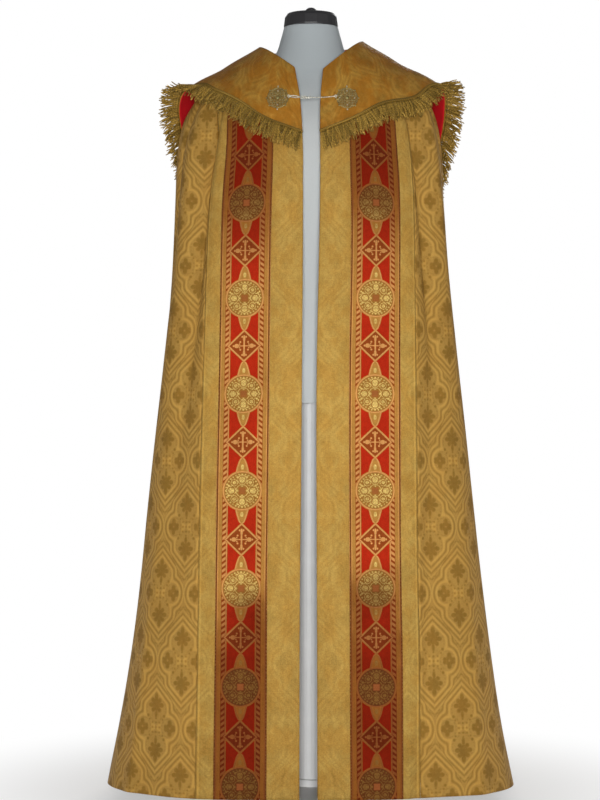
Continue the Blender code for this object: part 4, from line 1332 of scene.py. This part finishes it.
class COPE_OT_clasp(bpy.types.Operator):
    """Fasten the clasp: two openwork brooches with a chain and a hook"""

    bl_idname = "cope.clasp"
    bl_label = "Fasten clasp"

    def execute(self, context):
        mantle, _, colours = settings(context)
        gilt = finish_for("antique_gilt", antique_metal, tuple(colours.metal))
        bright = finish_for("bright_gilt", antique_metal, (0.80, 0.78, 0.66), 0.5)
        pale = finish_for("pearl_bead", pearl)
        tops = []
        for side, x in ((RIGHT, -0.064), (LEFT, 0.070)):
            word = SIDE_WORDS[side]
            spot, normal = hood_spot(mantle, side, x, CLASP_HEIGHT, 0.0016)
            work, pearls = (Wirework(spot + normal * 0.0044, normal) for _ in range(2))
            self.brooch(work, pearls)
            ride(work.made(f"brooch_{word}", gilt), "clasp_metal", f"clasp_plate_{word}")
            ride(pearls.made(f"brooch_pearls_{word}", pale), "clasp_metal")
            tops.append(spot + normal * 0.007)
        y = min(spot[1] for spot in tops) - 0.012
        chains = self.chains(*tops, y).made("clasp_chains", bright)
        ride(chains, "clasp_metal", "clasp_chain_right", "clasp_chain_left")
        ride(self.hook(y).made("clasp_hook_metal", bright), "clasp_metal", "clasp_hook")
        return {"FINISHED"}

    def brooch(self, work, pearls):
        """Rings, scrolls and beads in eight parts round a dome, drawn in millimetres."""
        mm = BROOCH_MM

        def bead(to, reach, turn, z, radius, *shape):
            x, y = reach * mm * math.cos(turn), reach * mm * math.sin(turn)
            to.bead(x, y, z * mm, radius * mm, *shape)

        half_part = math.pi / 8
        work.ring(0, 0, 0.2 * mm, 8.2 * mm, 0.75 * mm, steps=36)
        work.ring(0, 0, -0.3 * mm, 25.0 * mm, 0.7 * mm, steps=64)
        bead(work, 0, 0, 1.0, 4.6, 0.75, 7, 16)
        for i in range(12):
            bead(work, 6.4, TURN * i / 12, 0.9, 1.0)
        spin = np.linspace(0.0, 1.0, 16)
        for i in range(8):
            a = TURN * i / 8
            x, y = 17.6 * mm * math.cos(a), 17.6 * mm * math.sin(a)
            work.ring(x, y, 0.3 * mm, 7.6 * mm, 0.75 * mm, 0.80, a, 26)
            work.ring(x, y, 0.5 * mm, 4.2 * mm, 0.55 * mm, 0.80, a, 20)
            bead(work, 17.6, a, 0.7, 1.7)
            bead(work, 27.2, a, 0.2, 1.9)
            for turn in (-1, 1):
                reach = (12.0 + 11.5 * spin) * mm
                curl = a + turn * (half_part * 0.98 - 0.34 * np.sin(spin * math.pi))
                scroll = [reach * np.cos(curl), reach * np.sin(curl), np.full(16, 0.1 * mm)]
                work.wire(np.stack(scroll, 1), 0.5 * mm)
            bead(work, 22.6, a + half_part, 0.4, 1.4)
            bead(work, 13.2, a + half_part, 0.5, 1.1)
        for way in (-1, 1):
            bead(pearls, way * 29.4, math.pi / 2, 0.6, 1.7, 1.0, 7, 14)
            bead(pearls, way * 17.6, math.pi / 2, 1.6, 1.5, 1.0, 7, 14)
            bead(pearls, way * 17.6, 0.0, 1.6, 1.4, 1.0, 7, 14)

    def chains(self, right, left, y):
        """A double chain from the right brooch and a single one from the left, with their rings."""
        work = Wirework()
        ends = (right + [0.0215, -0.004, 0.002], left + [-0.0225, -0.004, 0.002])

        def rope(start, end, bow, curve, twist, radius):
            count = len(curve)
            t = np.linspace(0.0, 1.0, count)[:, None]
            turn = np.arange(count) * 1.6
            line = start * (1 - t) + end * t
            line[:, 1] += twist * np.cos(turn)
            line[:, 2] += bow * np.sin(math.pi * curve) + twist * np.sin(turn)
            work.wire(line, radius)

        near = np.array([-0.0175, y, CLASP_HEIGHT])
        for lift in (-1.7 * MM, 1.7 * MM):
            curve = np.clip(np.linspace(0.0, 1.0, 60) * 1.15, 0, 1)
            rope(ends[0], near, lift, curve, 0.0005, 0.62 * MM)
        start = np.array([-0.0025, y, CLASP_HEIGHT])
        rope(start, ends[1], -0.0012, np.linspace(0.0, 1.0, 90), 0.0006, 0.66 * MM)
        loops = [((x, y, CLASP_HEIGHT), 2.1 * MM, 2.4 * MM, 0.65 * MM) for x in (-0.0175, -0.0030)]
        loops += [(end, 2.2 * MM, 2.2 * MM, 0.6 * MM) for end in ends]
        for centre, wide, high, radius in loops:
            x, z = ellipse(centre[0], centre[2], wide, high / wide, steps=20)
            work.wire(np.stack([x, np.full(20, centre[1]), z], 1), radius, True)
        return work

    def hook(self, y):
        """A bent wire with a shank, a dome and two small beads."""
        work = Wirework()
        z = CLASP_HEIGHT
        middle = np.array([-0.0088, y, z])
        b = np.linspace(-0.5 * math.pi, 0.9 * math.pi, 18)
        x = middle[0] - 3.0 * MM + 2.2 * MM * np.cos(b + math.pi)
        bend = np.stack([x, np.full(18, y), z + 2.2 * MM * np.sin(b)], 1)
        work.wire(bend, 0.9 * MM, sides=8)
        shank = middle - [3.0 * MM, 0, 2.2 * MM]
        along = np.linspace(0.0, 1.0, 10)[:, None]
        work.wire(shank + along * np.array([6.6 * MM, 0.0, 2.2 * MM]), 1.0 * MM, sides=8)
        work.bead(middle[0], y - 0.8 * MM, z - 0.6 * MM, 2.3 * MM, rings=7, sides=14)
        work.bead(middle[0] - 4.6 * MM, y - 0.4 * MM, z, 1.3 * MM)
        work.bead(middle[0] + 4.0 * MM, y - 0.4 * MM, z, 1.3 * MM)
        return work


class COPE_OT_form(bpy.types.Operator):
    """Cover the dress form and paint its cap and stand"""

    bl_idname = "cope.form"
    bl_label = "Cover form"

    def execute(self, context):
        cover = finish_for("white_jersey", jersey, tuple(context.scene.cope_colours.cover))
        steps, squareness, stitch_width = 96, 0.92, 0.0105
        at = np.linspace(0.0, len(TORSO_SECTIONS) - 1, 113)
        z, width, front, back = (through_rows(TORSO_SECTIONS, at)[:, i : i + 1] for i in range(4))
        angle = (TURN * np.arange(steps) / steps)[None, :]
        sine, cosine = np.sin(angle), np.cos(angle)
        x = width * np.sign(sine) * np.abs(sine) ** squareness
        depth = np.where(cosine < 0, front, back)
        y = depth * np.sign(cosine) * np.abs(cosine) ** squareness
        points = np.stack([x, y, np.repeat(z, steps, 1)], -1).reshape(-1, 3)
        faces, uvs = [], []
        for r in range(len(at) - 1):
            low, high = z[r, 0], z[r + 1, 0]
            for i in range(steps):
                a, b = r * steps + i, r * steps + (i + 1) % steps
                faces.append([b, a, a + steps, b + steps])
                u, w = i * stitch_width, (i + 1) * stitch_width
                uvs += [(w, low), (u, low), (u, high), (w, high)]
        ends = [list(range(steps)), list(reversed(range(len(points) - steps, len(points))))]
        uvs += [tuple(points[i][:2]) for end in ends for i in end]
        piece = make_piece("form_cover", points, faces + ends, [cover], uvs)
        ride(piece, "form_cover", "form_torso")
        white = ("white_stand_paint", hard_paint, (0.80, 0.81, 0.81), 0.45, 0.00006)
        black = ("black_satin_paint", hard_paint, (0.020, 0.019, 0.021), 0.42, 0.00010)
        for node, paint in (("form_neck_cap", black), ("stand_pole", white), ("stand_base", white)):
            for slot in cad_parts[node].material_slots:
                slot.material = finish_for(*paint)
        return {"FINISHED"}


WHITE = (1.0, 1.0, 1.0, 1.0)


class COPE_OT_stage(bpy.types.Operator):
    """Set the floor, the light and the camera"""

    bl_idname = "cope.stage"
    bl_label = "Set stage"

    def execute(self, context):
        scene = context.scene
        light = scene.cope_light
        scene.view_settings.view_transform = "Standard"
        self.floor()
        self.room(scene, light.room)
        area = self.area
        area("front_light", (0.04, -4.6, 0.82), 0.80, (0.6, 0.4), light.key, 75.0)
        area("right_side_light", (-3.4, -1.6, 2.4), 0.9, (1.8, 1.8), light.fill * 0.5)
        area("left_side_light", (3.2, -2.2, 2.6), 0.9, (1.4, 1.4), light.fill * 2.0)
        area("back_light", (0.6, 4.4, 2.6), 0.8, (2.0, 2.0), light.back)
        self.camera(scene)
        return {"FINISHED"}

    def room(self, scene, strength):
        """Even white light, with a plain white background."""
        scene.world = bpy.data.worlds.new("room")
        scene.world.use_nodes = True
        tree = scene.world.node_tree
        ground = tree.nodes["Background"]
        ground.inputs["Color"].default_value = WHITE
        ground.inputs["Strength"].default_value = strength
        seen = add_node(tree, "Background", {"Color": WHITE, "Strength": 1.0})
        path = add_node(tree, "LightPath", {})
        inputs = {0: path.outputs["Is Camera Ray"], 1: ground.outputs[0], 2: seen.outputs[0]}
        mix = add_node(tree, "MixShader", inputs)
        tree.links.new(mix.outputs[0], tree.nodes["World Output"].inputs["Surface"])

    def floor(self):
        """A pale round floor that fades into the background away from the form."""
        made = Finish("pale_floor", 0.8, specular=0.2)
        tree = made.tree
        cloudy = made.body_noise(900.0, 2.0, 0.5)
        made.colour(made.blend(cloudy, (0.90, 0.90, 0.89), (0.94, 0.94, 0.93)))
        place = add_node(tree, "TexCoord", {}).outputs["Object"]
        distance = add_node(tree, "VectorMath", {0: place}, operation="LENGTH")
        near = Field(tree, distance.outputs["Value"]).below(0.62, 0.32) * 0.6
        glow = add_node(tree, "Emission", {"Color": WHITE}).outputs[0]
        mix = add_node(tree, "MixShader", {0: near, 1: glow, 2: made.shader.outputs[0]})
        tree.links.new(mix.outputs[0], tree.nodes["Material Output"].inputs["Surface"])
        steps, level = 96, -0.0006
        points = [(0.0, 0.0, level)]
        for radius in (0.6, 1.2, 1.8, 2.4, 3.0, 3.6):
            points += [(x, y, level) for x, y in zip(*ellipse(0.0, 0.0, radius, steps=steps))]
        faces = [[0, 1 + i, 1 + (i + 1) % steps] for i in range(steps)]
        for low in range(1, len(points) - steps, steps):
            for i in range(steps):
                j = (i + 1) % steps
                faces.append([low + i, low + steps + i, low + steps + j, low + j])
        make_piece("floor", points, faces, [made.material])

    def area(self, name, place, aim_height, size, power, spread=180.0):
        """A rectangular light that faces the form's axis."""
        data = bpy.data.lights.new(name, "AREA")
        data.shape = "RECTANGLE"
        data.size, data.size_y = size
        data.spread = math.radians(spread)
        data.energy = power
        lamp = link(name, data)
        lamp.location = place
        x, y, rise = -place[0], -place[1], aim_height - place[2]
        pitch = math.pi / 2 + math.atan2(rise, math.hypot(x, y))
        lamp.rotation_euler = (pitch, 0.0, math.atan2(y, x) - math.pi / 2)

    def camera(self, scene):
        data = bpy.data.cameras.new("camera")
        data.lens = 92.4
        data.sensor_width = 36.0
        data.shift_x = -0.0138
        camera = link("camera", data)
        camera.location = (0.0, -4.15, 0.787)
        camera.rotation_euler = (math.pi / 2, 0.0, 0.0)
        scene.camera = camera


class COPE_PT_panel(bpy.types.Panel):
    """Lists the pieces in the order that they are made"""

    bl_label = "Cope"
    bl_idname = "COPE_PT_panel"
    bl_space_type = "VIEW_3D"
    bl_region_type = "UI"
    bl_category = "Cope"

    def draw(self, context):
        layout = self.layout
        scene = context.scene
        groups = {
            "Sizes": scene.cope_sizes, "Colours": scene.cope_colours, "Light": scene.cope_light
        }
        for title, group in groups.items():
            box = layout.box()
            box.label(text=title)
            for name in group.__annotations__:
                box.prop(group, name)
        column = layout.column(align=True)
        for operator in OPERATORS:
            column.operator(operator.bl_idname)


OPERATORS = (
    COPE_OT_stage,
    COPE_OT_form,
    COPE_OT_bands,
    COPE_OT_mantle,
    COPE_OT_galloons,
    COPE_OT_hood,
    COPE_OT_fringe,
    COPE_OT_clasp,
)
CLASSES = (CopeSizes, CopeColours, StageLight, *OPERATORS, COPE_PT_panel)


def register():
    for cls in CLASSES:
        bpy.utils.register_class(cls)
    bpy.types.Scene.cope_sizes = bpy.props.PointerProperty(type=CopeSizes)
    bpy.types.Scene.cope_colours = bpy.props.PointerProperty(type=CopeColours)
    bpy.types.Scene.cope_light = bpy.props.PointerProperty(type=StageLight)


def unregister():
    del bpy.types.Scene.cope_light
    del bpy.types.Scene.cope_colours
    del bpy.types.Scene.cope_sizes
    for cls in reversed(CLASSES):
        bpy.utils.unregister_class(cls)


def main():
    register()
    bpy.ops.cope.stage()
    bpy.ops.cope.form()
    bpy.ops.cope.bands()
    bpy.ops.cope.mantle()
    bpy.ops.cope.galloons()
    bpy.ops.cope.hood()
    bpy.ops.cope.fringe()
    bpy.ops.cope.clasp()


if __name__ == "__main__":
    main()
